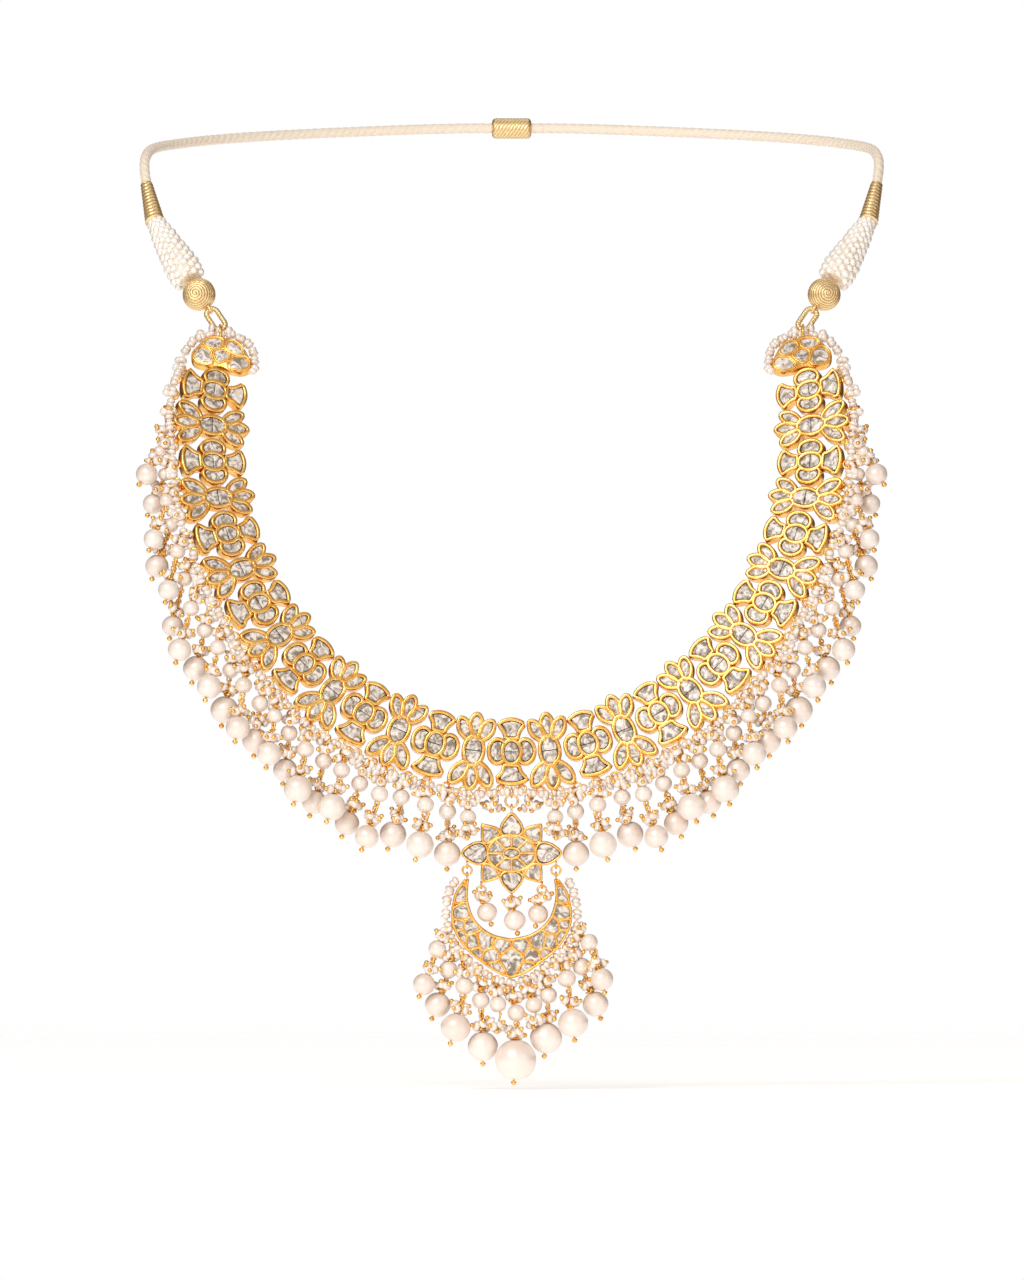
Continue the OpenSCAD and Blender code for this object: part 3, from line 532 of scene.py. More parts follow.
def added(tree, first, second, times=1.0):
    """A value times a number, plus another value."""
    made = put(tree, "ShaderNodeMath", {"operation": "MULTIPLY_ADD"})
    tree.links.new(first, made.inputs[0])
    made.inputs[1].default_value = times
    tree.links.new(second, made.inputs[2])
    return made.outputs[0]


def surfaced(made, output, colour, height, strength, distance, **values):
    """A material with its shader: a colour, bumps that follow a height, and the shader's values."""
    tree = made.node_tree
    bump = put(tree, "ShaderNodeBump", Strength=strength, Distance=distance, Height=height)
    shader = put(tree, "ShaderNodeBsdfPrincipled", Base_Color=colour, Normal=bump.outputs["Normal"], **values)
    tree.links.new(shader.outputs[0], output.inputs["Surface"])
    return made


def worked_metal():
    """A group for metal worked by hand: two tones in cloudy patches, a roughness that follows a
    finer grain, and a height of soft dents and fine scratches."""
    tree = bpy.data.node_groups.new("worked_metal", "ShaderNodeTree")
    sockets = [
        ("Place", "INPUT", "Vector"), ("Deep", "INPUT", "Color"), ("Bright", "INPUT", "Color"),
        ("Patch Scale", "INPUT", "Float"), ("Grain Scale", "INPUT", "Float"), ("Polish", "INPUT", "Float"),
        ("Color", "OUTPUT", "Color"), ("Roughness", "OUTPUT", "Float"), ("Height", "OUTPUT", "Float"),
    ]
    for name, way, kind in sockets:
        tree.interface.new_socket(name, in_out=way, socket_type=f"NodeSocket{kind}")
    given = tree.nodes.new("NodeGroupInput").outputs
    result = tree.nodes.new("NodeGroupOutput").inputs
    patch = noise(tree, given["Patch Scale"], 3.0, given["Place"])
    grain = noise(tree, given["Grain Scale"], 2.0, given["Place"])
    tone = mixed(tree, ranged(tree, patch, 0.35, 0.62), given["Deep"], given["Bright"])
    rough = ranged(tree, grain, 0.3, 0.7, To_Min=0.1, To_Max=0.3)
    tree.links.new(tone, result["Color"])
    tree.links.new(added(tree, rough, given["Polish"]), result["Roughness"])
    tree.links.new(added(tree, grain, patch, 0.35), result["Height"])
    return tree


worked = worked_metal()


def gold_finish(name, deep, bright, patch, grain, polish, dent):
    """Gold of two tones, worked by hand. Patch and grain are per metre, and dent is in metres."""
    made, tree, output = new_material(name)
    place = put(tree, "ShaderNodeTexCoord").outputs["Object"]
    work = put(tree, "ShaderNodeGroup", {"node_tree": worked}, Place=place, Deep=deep, Bright=bright,
               Patch_Scale=patch, Grain_Scale=grain, Polish=polish).outputs
    return surfaced(made, output, work["Color"], work["Height"], 0.4, dent, Metallic=1.0,
                    Roughness=work["Roughness"])


setting_gold = gold_finish("setting_gold", (0.84, 0.41, 0.075, 1), (0.97, 0.61, 0.20, 1), 420.0, 2600.0,
                           polish=0.07, dent=0.00018)
wire_gold = gold_finish("wire_gold", (0.82, 0.40, 0.075, 1), (0.98, 0.65, 0.23, 1), 700.0, 3000.0,
                        polish=0.04, dent=0.0001)


def plate(outline, middle, thickness, top, round_off=0.35):
    """A plate inside an outline: its back, its wall and its top, joined by rounded edges. Each
    ring is the outline drawn in towards the middle by an even distance."""
    away = np.linalg.norm(outline - middle, axis=1)[:, None]
    rows = [
        (3.0, -thickness), (round_off, -thickness), (0.1, 0.12 - thickness), (0, round_off - thickness),
        (0, top - round_off), (0.1, top - 0.1), (round_off, top), (3.0, top),
    ]
    rings = [level(middle + (outline - middle) * np.maximum(1 - by / away, 0.05), z) for by, z in rows]
    return shell(np.stack(rings), (*middle, -thickness), (*middle, top))


def kept_out(outline, middle, half):
    """An outline with every point that lies inside an ellipse pushed out to its edge."""
    off = (outline - middle) / half
    return middle + off * np.maximum(1 / np.maximum(np.linalg.norm(off, axis=1), 1e-6), 1)[:, None] * half


def moon_outline(s):
    """The half-moon on one side of the oval."""
    x, y, half_w, half_l = MOON
    ellipse = cell_outline((s * x, y, half_w, half_l, 0, 0, 1), 0)
    return evenly_round(kept_out(ellipse, np.zeros(2), np.array(OVAL_RING)))


def fan_outline(low, high, half_low, half_high, arch):
    """A fan: its sides spread along a parabola from the narrow end to the corners, and the wide
    end is arched."""
    t = np.linspace(0, 1, 9)
    side = np.column_stack([half_low + (half_high - half_low) * t ** FAN_CURVE, low + (high - low) * t])
    u = np.linspace(1, -1, 13)[1:-1]
    end = np.column_stack([half_high * u, high + arch * (1 - u ** 2)])
    outline = np.vstack([side, end, side[::-1] * (-1, 1)])
    return evenly_round(outline if high > low else outline[::-1])


quatrefoil = [cell_outline(OVAL, 0), moon_outline(1), moon_outline(-1), *(fan_outline(*f) for f in FANS)]
flower = [cell_outline(c, STONE_EDGE, PETAL_TIP if k else 0) for k, c in enumerate(FLOWER)]
OPENINGS = [[grown(o, -INSET) for o in kind] for kind in (quatrefoil, flower)]
PLAQUE_CUPS = [joined(cup(o, PLAQUE_T, CUP_WALL) for o in kind) for kind in OPENINGS]
webs = [np.vstack([w, np.array(w[-2:0:-1]) * (-1, 1)])[::-1] for w in WEBS]
webs = [plate(evenly_round(w), w.mean(axis=0), PLAQUE_T - BACK_IN, WEB_TOP, WEB_ROUND) for w in webs]
PLAQUE_CUPS[1] = joined([PLAQUE_CUPS[1], *webs])
plaque_0, turn_0 = plaque_frame(0)
loop_at = plaque_0 + turn_0 @ (0, LOOP_Y, -PLAQUE_T / 2)
hang_y = loop_at[1]

middle_plaque = [placed(PLAQUE_CUPS[0], plaque_frame(0)), torus(loop_at, (1, 0, 0), LOOP_R, RING_WIRE)]
made_of("setting_c", joined(middle_plaque), setting_gold, nodes=["plaque_c"])
for i in range(1, CAP):
    shape = placed(PLAQUE_CUPS[i % 2], plaque_frame(i))
    made_both(f"setting_*{i:02d}", shape, setting_gold, f"plaque_*{i:02d}", "rl")

# End caps
# Each end of the collar has a thick gold cap over the last plaque, with five stones in cups
# that stand a little above its top, and a bail of round wire for the long link.
CAP_CELLS = [
    (4.4, 0.8, 2, 1.85, 0, 0, 0.9),
    (1.6, 4.2, 1.8, 1.15, 0, 0.15, 0.85),
    (-0.2, 1, 1.9, 1.15, 20, 0, 0.9),
    (-3.2, 2.9, 1.9, 1.15, 38, 0, 0.9),
    (-4.6, -1.4, 2.2, 1.5, 12, 0, 1),
]
# The notch in its foot: middle and half sizes
CAP_NOTCH = (1, -6.1, 4.2, 3.7)
CAP_MIDDLE = np.array([0, 1.2])
CAP_TOP = -0.42
CAP_WALL = 0.58
BAIL_AT = (0.2, 7.9, -PLAQUE_T / 2)
BAIL_R = 1.9
BAIL_WIRE = 0.35


def cap_outline():
    """The tightest outline round the cap's cells, found as their farthest point in each direction,
    with a round notch in its foot: a point inside the notch is pushed out to its edge."""
    cells = np.vstack([cell_outline(c, RIM) for c in CAP_CELLS])
    a = turns(4 * PLATE_STEPS)
    outline = evenly_round(cells[np.argmax(cells @ np.stack([np.cos(a), np.sin(a)]), axis=0)], PLATE_STEPS)
    return kept_out(outline, np.array(CAP_NOTCH[:2]), np.array(CAP_NOTCH[2:]))


cap_edge = cap_outline()
cap_openings = packed(CAP_CELLS, cap_edge, wall=0.8, band=0.7, reach=1.9)
cap_shape = joined([
    plate(cap_edge, CAP_MIDDLE, PLAQUE_T, CAP_TOP),
    *(cup(o, PLAQUE_T - BACK_IN, CAP_WALL) for o in cap_openings),
    torus(BAIL_AT, (1, 0, 0), BAIL_R, BAIL_WIRE),
])
cap_shape = placed(cap_shape, plaque_frame(CAP))
made_both("setting_cap_*", cap_shape, setting_gold, "end_cap_*", "rl")

# Flat-cut stones
# Polki are slices of rough diamond, backed with foil and bedded on lac, whose few facets are
# uneven. They look greyish beige, with silvery lights and painted shade at the edges under the rims.
# Section of a stone: share of the way from the middle, height, unevenness of both
STONE_ROWS = [(1, -1.1, 0, 0), (0.94, -0.42, 0.008, 0.015), (0.55, -0.27, 0.06, 0.035)]
STONE_FOOT = -1.15
STONE_TOP = -0.24
TABLE_SHIFT = 0.08
TABLE_UNEVEN = 0.03
SPLIT = 0.045
chance = np.random.default_rng(11)


def stone_shape(outline):
    """A flat-cut stone: an outline drawn in and raised ring by ring to a low table, each corner
    shifted a little by chance so that the facets are uneven. The mark is 1 at the edge."""
    count = len(outline)
    middle = outline.mean(axis=0)
    shift = chance.normal(0, TABLE_SHIFT, 2)
    rings, marks = [], []
    for share, z, loose, uneven in STONE_ROWS:
        wide = share + chance.normal(0, 1, count) * loose
        flat = middle + shift * (1 - share) + (outline - middle) * wide[:, None]
        rings.append(level(flat, z + chance.normal(0, 1, count) * uneven))
        marks.append(np.full(count, share))
    top = (*(middle + shift), STONE_TOP + chance.normal(0, TABLE_UNEVEN))
    return shell(np.stack(rings), (*middle, STONE_FOOT), top, np.concatenate([*marks, [1, 0]]))


def half_outlines(outline):
    """The outlines of the two half stones in an oval opening: its outline with all that lies
    beyond the split drawn back to it."""
    high, low = outline.copy(), outline.copy()
    high[:, 1] = np.maximum(outline[:, 1], SPLIT)
    low[:, 1] = np.minimum(outline[:, 1], -SPLIT)
    return [high, low]


def stones_of(openings):
    """The stones of a plaque: two half stones in its middle oval and one in each other cell."""
    return joined(stone_shape(o) for o in half_outlines(openings[0][::2]) + [o[::3] for o in openings[1:]])


def mark_of(tree):
    """The mark that each point of a piece carries."""
    return put(tree, "ShaderNodeAttribute", {"attribute_name": "mark"}).outputs["Fac"]


def polki_finish():
    """Cloudy greyish stone over foil: bent pale and grey streaks, painted shade at the edge under the rim,
    wet and clear.
    """
    made, tree, output = new_material("polki")
    clear = ranged(tree, noise(tree, 460.0, 3.0, distortion=1.8), 0.38, 0.6)
    tone = mixed(tree, clear, (0.23, 0.18, 0.135, 1), (0.82, 0.75, 0.68, 1))
    # Painted shade: the colour darkens towards the stone's edge, where the rim overhangs it.
    edge = ranged(tree, mark_of(tree), 0.9, 0.99, "SMOOTHSTEP")
    colour = mixed(tree, edge, tone, (0.10, 0.07, 0.05, 1))
    return surfaced(made, output, colour, noise(tree, 260.0, 1.0), 0.3, 0.0005, Metallic=0.0,
                    Roughness=0.25, Coat_Weight=0.25, Coat_Roughness=0.03)


polki = polki_finish()
stones = [placed(stones_of(OPENINGS[i % 2]), plaque_frame(i)) for i in range(CAP)]
stones.append(placed(joined(stone_shape(o[::2]) for o in cap_openings), plaque_frame(CAP)))
made_of("polki_right", joined(stones), polki, nodes=["stones_right"], smooth=False)
left_stones = mirrored(joined(stones[1:]))
made_of("polki_left", left_stones, polki, nodes=["stones_left"], smooth=False)

# Seed pearls on the edge thread
# Tiny button-shaped pearls are threaded side by side along the collar's outer edge and round the
# caps, with gold ears between them that tie the thread to the plaques.
SEED_R = 1.25
SEED_HALF = 0.74
SEED_STEP = 1.6
BUTTON_STEP = 1.3
# Spread of the seeds' radii and lengths, how far they lean, and any turn at all, in radians
SEED_WIDTHS = (0.84, 1.06)
SEED_LENGTHS = (0.85, 1.12)
SEED_LEAN = 0.12
ANY_TURN = 6.28
# Seeds go in pairs, as a share of a step, and waver about the thread. Those of the second row
# stand out from it, to the front or back, lean more and are smaller.
PAIR_SHIFT = 0.12
WAVER = 0.12
SECOND_OUT = (0.9, 1.7)
SECOND_FRONT = 0.35
SECOND_LEAN = 0.8
SECOND_SIZE = 0.95
EAR_R = 1.0
EAR_WIRE = 0.3
EAR_STEP = 4.8
EAR_IN = 0.75
EAR_LEAN = 0.25
# Faces round and across a small loop of wire
EAR_FACES = (14, 6)
THREAD_LOW = -PLAQUE_T / 2
# How far out the thread passes each kind of plaque, and how far below the lowest one
THREAD_OUT = (10.3, 10.95)
THREAD_MIDDLE = 9.7
CAP_THREAD = [
    (9.8, -2.2), (9.4, 1.8), (7.2, 5.2), (3.4, 7.2), (-1, 7.3), (-4.8, 6.4), (-7.6, 3.6), (-8.6, 0),
    (-7.9, -3.8),
]
CURVE_STEPS = 8


def lathe(radii, heights, around, ends):
    """A body turned about Z: circles of given radii at given heights, closed at two end heights."""
    a = turns(around)
    levels = np.repeat(heights, around).reshape(-1, around)
    rings = np.stack([np.outer(radii, np.cos(a)), np.outer(radii, np.sin(a)), levels], -1)
    return shell(rings, (0, 0, ends[0]), (0, 0, ends[1]))


def bead(rows, around, fullness, end):
    """A bead of radius 1 and half length 1 along Z: a sphere's rings, with their radii raised to
    a power, which below 1 makes it fuller towards its ends."""
    b = np.pi * (np.arange(rows) + 1) / (rows + 1)
    return lathe(np.sin(b) ** fullness, -np.cos(b), around, (-end, end))


def frames_along(ways, sizes=np.ones((1, 3)), spins=np.zeros(1)):
    """Frames whose third axis runs along each way, turned about it by each spin. The columns
    have the lengths given in sizes."""
    ways = unit(ways)
    side = unit(np.cross(np.where(np.abs(ways[:, 2:]) > 0.8, (0.0, 1.0, 0.0), (0.0, 0.0, 1.0)), ways))
    other = np.cross(ways, side)
    c, s = np.cos(spins)[:, None], np.sin(spins)[:, None]
    return np.stack([side * c + other * s, other * c - side * s, ways], -1) * sizes[:, None, :]


def islands(name):
    """The separate solids of a node, each as its corners in millimetres. Every corner takes the
    lowest label met along its edges until none changes."""
    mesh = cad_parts[name].data
    points = np.empty(len(mesh.vertices) * 3)
    mesh.vertices.foreach_get("co", points)
    points, where = np.unique(np.round(points.reshape(-1, 3) / MM, 3), axis=0, return_inverse=True)
    edges = np.empty(len(mesh.edges) * 2, int)
    mesh.edges.foreach_get("vertices", edges)
    ends = where.reshape(-1)[edges].reshape(-1, 2)
    label, settled = np.arange(len(points)), False
    while not settled:
        lowest = label[ends].min(axis=1)
        spread = label.copy()
        np.minimum.at(spread, ends[:, 0], lowest)
        np.minimum.at(spread, ends[:, 1], lowest)
        spread = spread[spread]
        settled = np.array_equal(spread, label)
        label = spread
    return [points[label == k] for k in np.unique(label)]


def smooth_curve(points, steps):
    """A smooth curve through points by Catmull and Rom's formula, which holds a knot's way
    parallel to the line between its neighbours."""
    points = np.asarray(points, float)
    u = np.arange(steps * (len(points) - 1) + 1) / steps
    k = np.minimum(u.astype(int), len(points) - 2)
    f = (u - k)[:, None]
    a, b, c, d = (points[np.clip(k + shift, 0, len(points) - 1)] for shift in (-1, 0, 1, 2))
    bend = 2 * a - 5 * b + 4 * c - d
    return 0.5 * (2 * b + (c - a) * f + bend * f ** 2 + (3 * b - a - 3 * c + d) * f ** 3)


def on_plaque(i, x, y, z=THREAD_LOW):
    """A point of a plaque's own frame, in its place."""
    place, turn = plaque_frame(i)
    return place + turn @ (x, y, z)


THREAD = np.array(
    [on_plaque(0, 0.12, -THREAD_MIDDLE)]
    + [on_plaque(i, 0, -THREAD_OUT[i % 2]) for i in range(1, CAP)]
    + [on_plaque(CAP, x, y) for x, y in CAP_THREAD]
)


def evenly(line, step):
    """Points at even steps along a line, with the way of the line at each."""
    at = np.arange(step / 2, run_of(line)[-1], step)
    return points_along(line, at), unit(points_along(line, at + 0.3) - points_along(line, at - 0.3))


def seeds_at(spots, ways, radius=SEED_R, half=SEED_HALF):
    """Seed pearls at places along a thread, each a little different in size, spin and tint."""
    count = len(spots)
    size = np.column_stack([
        radius * chance.uniform(*SEED_WIDTHS, count), radius * chance.uniform(*SEED_WIDTHS, count),
        half * chance.uniform(*SEED_LENGTHS, count),
    ])
    lean = ways + chance.normal(0, SEED_LEAN, (count, 3))
    frames = frames_along(lean, size, chance.uniform(0, ANY_TURN, count))
    return copies(SEED, spots, frames, chance.uniform(0, 1, count))


def pearl_finish(name, pale, deep, cloud_scale, rough):
    """Nacre: two close tones in clouds and by each pearl's own tint, a soft body and a glossy skin."""
    made, tree, output = new_material(name)
    cloud = noise(tree, cloud_scale, 2.0, distortion=0.8)
    share = ranged(tree, added(tree, mark_of(tree), cloud, 0.55), 0.4, 1.2)
    return surfaced(made, output, mixed(tree, share, pale, deep), cloud, 0.25, 0.0002, Roughness=rough,
                    Coat_Weight=1.0, Coat_Roughness=0.34, Coat_IOR=2.2, Specular_IOR_Level=1.0)


def seed_row(line, step, second=0.45):
    """Seed pearls on a thread in uneven pairs, with a share of a second, looser row outside."""
    spots, ways = evenly(line, step)
    k = np.arange(len(spots))
    spots = spots + ways * (np.where(k % 2, -PAIR_SHIFT, PAIR_SHIFT) * step)[:, None]
    out = unit(np.cross(ways, (0.0, -1.0, 0.0)))
    first = seeds_at(spots + out * chance.normal(0, WAVER, (len(k), 1)), ways)
    loose = chance.uniform(0, 1, len(k)) < second
    count = loose.sum()
    front = chance.normal(0, SECOND_FRONT, (count, 1)) * (0, 1, 0)
    more = spots[loose] + out[loose] * chance.uniform(*SECOND_OUT, (count, 1)) + front
    turned = ways[loose] + chance.normal(0, SECOND_LEAN, (count, 3))
    return joined([first, seeds_at(more, turned, SECOND_SIZE * SEED_R)])


def ears(line, step):
    """Small gold rings that tie a thread to the plaques, at even steps along it."""
    spots, ways = evenly(line, step)
    spots = spots + EAR_IN * np.cross((0.0, -1.0, 0.0), ways)
    axes = (0.0, -1.0, 0.0) + chance.normal(0, EAR_LEAN, (len(spots), 3))
    return joined(torus(p, axis, EAR_R, EAR_WIRE, *EAR_FACES) for p, axis in zip(spots, axes))


SEED = bead(5, 9, 0.8, 0.92)
seed_nacre = pearl_finish("seed_nacre", (0.91, 0.82, 0.74, 1), (0.76, 0.60, 0.49, 1), 900.0, 0.3)
edge_line = smooth_curve(THREAD, CURVE_STEPS)
band_line, cap_line = np.split(edge_line, [(CAP + 1) * CURVE_STEPS])
edge_row = joined([seed_row(band_line, SEED_STEP), seed_row(cap_line, BUTTON_STEP, 0.3)])
made_both("seed_row_*", edge_row, seed_nacre)
made_both("ears_*", ears(band_line, EAR_STEP), wire_gold)


def dress(material, *names):
    """Gives a material to CAD nodes that keep their own shape."""
    for name in names:
        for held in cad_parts[name].material_slots:
            held.material = material
        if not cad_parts[name].material_slots:
            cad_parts[name].data.materials.append(material)


def silk_finish():
    """Cream silk: a soft, matt thread with a pale sheen and fine twisted fibres."""
    made, tree, output = new_material("cream_silk")
    fibre = noise(tree, 1800.0, 3.0)
    tone = mixed(tree, fibre, (0.93, 0.84, 0.72, 1), (0.80, 0.66, 0.50, 1))
    return surfaced(made, output, tone, fibre, 0.5, 0.0002, Roughness=0.55, Sheen_Weight=0.5,
                    Sheen_Roughness=0.4)


cream_silk = silk_finish()
dress(cream_silk, "edge_thread_left", "edge_thread_right", "crescent_thread")

# Pearl fringe
# Each drop hangs from a gold ring on the edge thread: a pin through a small pearl, a wrapped
# loop and a pin through a large pearl, with a gold ball below. Tiny pearls on headpins are
# bound into each joint, so that the drops look like bunches.
BALL_R = 0.65
# A ball's middle lies this share of its radius off the pearl that it touches
BALL_SEAT = 0.92
RING_TOP = 2.0
# To find a drop's pearls: how exactly the ball has to touch the lower one, how long a detour the
# upper one may be, and what is added for the lower one, so that it isn't taken twice
TOUCH = 0.1
DETOUR = 1.0
TAKEN = 9.0
CLUSTER_SEEDS = 5
CLUSTER_REACH = (1.0, 1.9)
CLUSTER_DROP = (-0.5, 1.5)
CLUSTER_SEED_R = 1.3
CLUSTER_SEED_HALF = 0.8
# How unevenly the tiny pearls stand round a joint, in radians
CLUSTER_UNEVEN = 0.3
HEAD_R = 0.6
# Shares of their own radii: how far a tiny pearl and a pin's head stay off a pearl, and how far
# the head stands out from its tiny pearl
SEED_CLEAR = 0.8
HEAD_CLEAR = 0.9
HEAD_OUT = 0.6
HEADPIN_R = 0.11
PEARL_WIDTHS = (0.985, 1.0)
PEARL_LENGTHS = (0.94, 0.99)
COIL_R = 0.42
COIL_WIRE = 0.16
COIL_TURNS = 3
COIL_LENGTH = 1.35
# The loops of wire: their radii up the pin and in the tangle at a joint, and where they lie
LOOP_WIRE = 0.2
LOOP_FACES = (14, 5)
LOOP_RADII = (0.5, 0.7)
LOOP_STEP = 0.7
LOOP_FROM = 0.3
LOOP_TO = 0.6
LOOP_LEAN = 0.35
TANGLE = 8
TANGLE_RADII = (0.5, 0.85)
TANGLE_SPREAD = 0.35
TANGLE_DOWN = 0.2
# How far a ring's wire reaches below its middle, and a joint lies above its pearl
RING_CLEAR = 1.2
JOINT_ABOVE = 0.95
# A ball with no pearl above it has its tiny pearls this far above it, round next to nothing
BARE_END = 1.1
BARE_R = 0.01

Drop = namedtuple("Drop", "ring ball pearls")


def pearls_of(name):
    """The middle and radius of each pearl of a node."""
    found = [(solid.mean(axis=0), solid) for solid in islands(name)]
    return [(middle, np.linalg.norm(solid - middle, axis=1).max()) for middle, solid in found]


def drops_of(wires, pearls):
    """The drops of a fringe. A wire's ring is its top and its ball its foot. The lower pearl is
    the one that the ball touches, and the upper pearl the one least out of the way between."""
    found = []
    pearls = pearls_of(pearls)
    for solid in islands(wires):
        ring = solid[solid[:, 2] > solid[:, 2].max() - RING_TOP].mean(axis=0)
        low = solid[np.argmin(solid[:, 2])]
        ball = solid[np.linalg.norm(solid - low, axis=1) < 2 * BALL_R].mean(axis=0)
        off = [abs(np.linalg.norm(p - ball) - r - BALL_SEAT * BALL_R) for p, r in pearls]
        lower = pearls[int(np.argmin(off))] if min(off) < TOUCH else None
        end = ball if lower is None else lower[0]
        detour = [np.linalg.norm(p - ring) + np.linalg.norm(end - p) - np.linalg.norm(end - ring)
                  + (TAKEN if lower is not None and p is lower[0] else 0) for p, r in pearls]
        upper = pearls[int(np.argmin(detour))] if min(detour) < DETOUR else None
        found.append(Drop(ring, ball, [p for p in (upper, lower) if p is not None]))
    return found


def pearl_shape(around=28, rows=17):
    """A pearl of radius 1, drilled along Z: a sphere whose poles sink into shallow dimples, with
    a faint uneven swelling that two slow waves give it."""
    b = np.pi * (np.arange(rows) + 0.5) / rows
    a = turns(around)
    near = np.minimum(b, np.pi - b)
    size = 1 - 0.07 * np.exp(-(near / 0.2) ** 2)
    swell = 1 + 0.008 * np.sin(2 * a[None, :] + 3 * b[:, None]) + 0.006 * np.sin(5 * b[:, None])
    out = (size * np.sin(b))[:, None] * swell
    rings = np.stack([out * np.cos(a), out * np.sin(a), -(size * np.cos(b))[:, None] * swell], -1)
    return shell(rings, (0, 0, -0.9), (0, 0, 0.9))


def capped(rings, mark=None):
    """A closed surface whose poles are the middles of its end rings."""
    return shell(rings, rings[0].mean(axis=0), rings[-1].mean(axis=0), mark)


def coil_shape(steps=10, sides=5):
    """Wrapped wire: a small circle carried along a helix round Z, from 0 up to 1 millimetre, its
    radius swelling in the middle as a hand-wrapped coil does."""
    t = np.linspace(0, 1, COIL_TURNS * steps + 1)[:, None]
    a = 2 * np.pi * COIL_TURNS * t
    b = turns(sides)[None, :]
    out = COIL_R * (0.85 + 0.3 * np.sin(np.pi * t)) + COIL_WIRE * np.cos(b)
    return capped(np.stack([out * np.cos(a), out * np.sin(a), t + COIL_WIRE * np.sin(b)], -1))


PEARL, BALL, COIL = pearl_shape(), bead(4, 8, 1, 1), coil_shape()
PIN = lathe((1, 1), (0, 1), 5, (0, 1))


def pearls_at(middles, radii, ways):
    """Pearls strung along their pins, each with its own spin, tint and slight flattening."""
    count = len(middles)
    size = radii[:, None] * np.column_stack([
        chance.uniform(*PEARL_WIDTHS, count), chance.uniform(*PEARL_WIDTHS, count),
        chance.uniform(*PEARL_LENGTHS, count),
    ])
    frames = frames_along(ways, size, chance.uniform(0, ANY_TURN, count))
    return copies(PEARL, middles, frames, chance.uniform(0, 1, count))


def pushed_off(points, middles, least):
    """Points moved straight out from pearls' middles until they are at least so far away."""
    off = points - middles
    away = np.linalg.norm(off, axis=1)
    return middles + off * (np.maximum(away, least) / away)[:, None]


def cluster(tops, pearls, radii, ways):
    """Tiny pearls bound into a joint above a pearl: each hangs outwards from the joint on its own
    headpin, and is pushed off the pearl's surface where it would meet it."""
    count = len(tops) * CLUSTER_SEEDS
    top, middle, up = (np.repeat(rows, CLUSTER_SEEDS, axis=0) for rows in (tops, pearls, ways))
    radius = np.repeat(radii, CLUSTER_SEEDS)
    start = np.repeat(chance.uniform(0, ANY_TURN, len(tops)), CLUSTER_SEEDS)
    turn = np.tile(turns(CLUSTER_SEEDS), len(tops)) + start + chance.normal(0, CLUSTER_UNEVEN, count)
    reach = chance.uniform(*CLUSTER_REACH, count)
    drop = chance.uniform(*CLUSTER_DROP, count)
    flat = np.stack([reach * np.cos(turn), reach * np.sin(turn), drop], -1)
    seed = top + np.einsum("nij,nj->ni", frames_along(up), flat)
    seed = pushed_off(seed, middle, radius + SEED_CLEAR * CLUSTER_SEED_R)
    way = unit(seed - top)
    head = seed + way * (CLUSTER_SEED_HALF + HEAD_OUT * HEAD_R)
    head = pushed_off(head, middle, radius + HEAD_CLEAR * HEAD_R)
    length = np.linalg.norm(seed - top, axis=1) + CLUSTER_SEED_HALF
    pins = np.column_stack([np.full((count, 2), HEADPIN_R), length])
    heads = copies(BALL, head, frames_along(way, np.full((1, 3), HEAD_R)))
    gold = [heads, copies(PIN, top, frames_along(way, pins))]
    return seeds_at(seed, way, CLUSTER_SEED_R, CLUSTER_SEED_HALF), gold


def small_loop(place, axis, radii):
    """A loop of wire with a radius by chance."""
    return torus(place, axis, chance.uniform(*radii), LOOP_WIRE, *LOOP_FACES)


def fringe(drops):
    """The pearls, tiny pearls and wrapped wire of a row of drops. Above each pearl, loops of wire
    go down its pin, and a tangle of loops and a coil lie at its joint."""
    strung, wire = [], []
    for drop in drops:
        above, clear = drop.ring, RING_CLEAR
        for middle, radius in drop.pearls:
            way = unit(middle - above)
            joint = middle - way * (radius + JOINT_ABOVE)
            strung.append((middle, radius, way, joint))
            gap = np.linalg.norm(middle - above) - clear - radius
            for at in np.arange(LOOP_FROM, gap - LOOP_TO, LOOP_STEP):
                axis = chance.normal(0, LOOP_LEAN, 3) + ((1, 0, 0) if len(wire) % 2 else (0, -1, 0))
                wire.append(small_loop(above + way * (clear + at), axis, LOOP_RADII))
            for _ in range(TANGLE):
                place = joint + chance.normal(0, TANGLE_SPREAD, 3) + way * TANGLE_DOWN
                wire.append(small_loop(place, chance.normal(0, 1, 3), TANGLE_RADII))
            above, clear = middle, radius
        if np.linalg.norm(drop.ball - above) > clear + 2 * BALL_R:
            way = unit(drop.ball - above)
            strung.append((drop.ball, BARE_R, way, drop.ball - BARE_END * way))
    middles, radii, ways, tops = map(np.array, zip(*strung))
    real = radii > BARE_R
    seeds, gold = cluster(tops, middles, radii, -ways)
    starts = middles - ways * (radii + 0.1)[:, None]
    coils = frames_along(-ways[real], np.array([[1, 1, COIL_LENGTH]]), chance.uniform(0, 6, real.sum()))
    gold = joined([*gold, copies(COIL, starts[real], coils), *wire])
    return pearls_at(middles[real], radii[real], ways[real]), seeds, gold


nacre = pearl_finish("pearl_nacre", (0.87, 0.77, 0.69, 1), (0.80, 0.64, 0.53, 1), 220.0, 0.5)
pearls, seeds, gold = fringe(drops_of("fringe_wires_right", "fringe_pearls_right"))
made_both("pearls_*", pearls, nacre, "fringe_pearls_*")
made_both("tiny_pearls_*", seeds, seed_nacre)
made_both("wrapped_wire_*", gold, wire_gold)
dress(wire_gold, "fringe_wires_right", "fringe_wires_left")

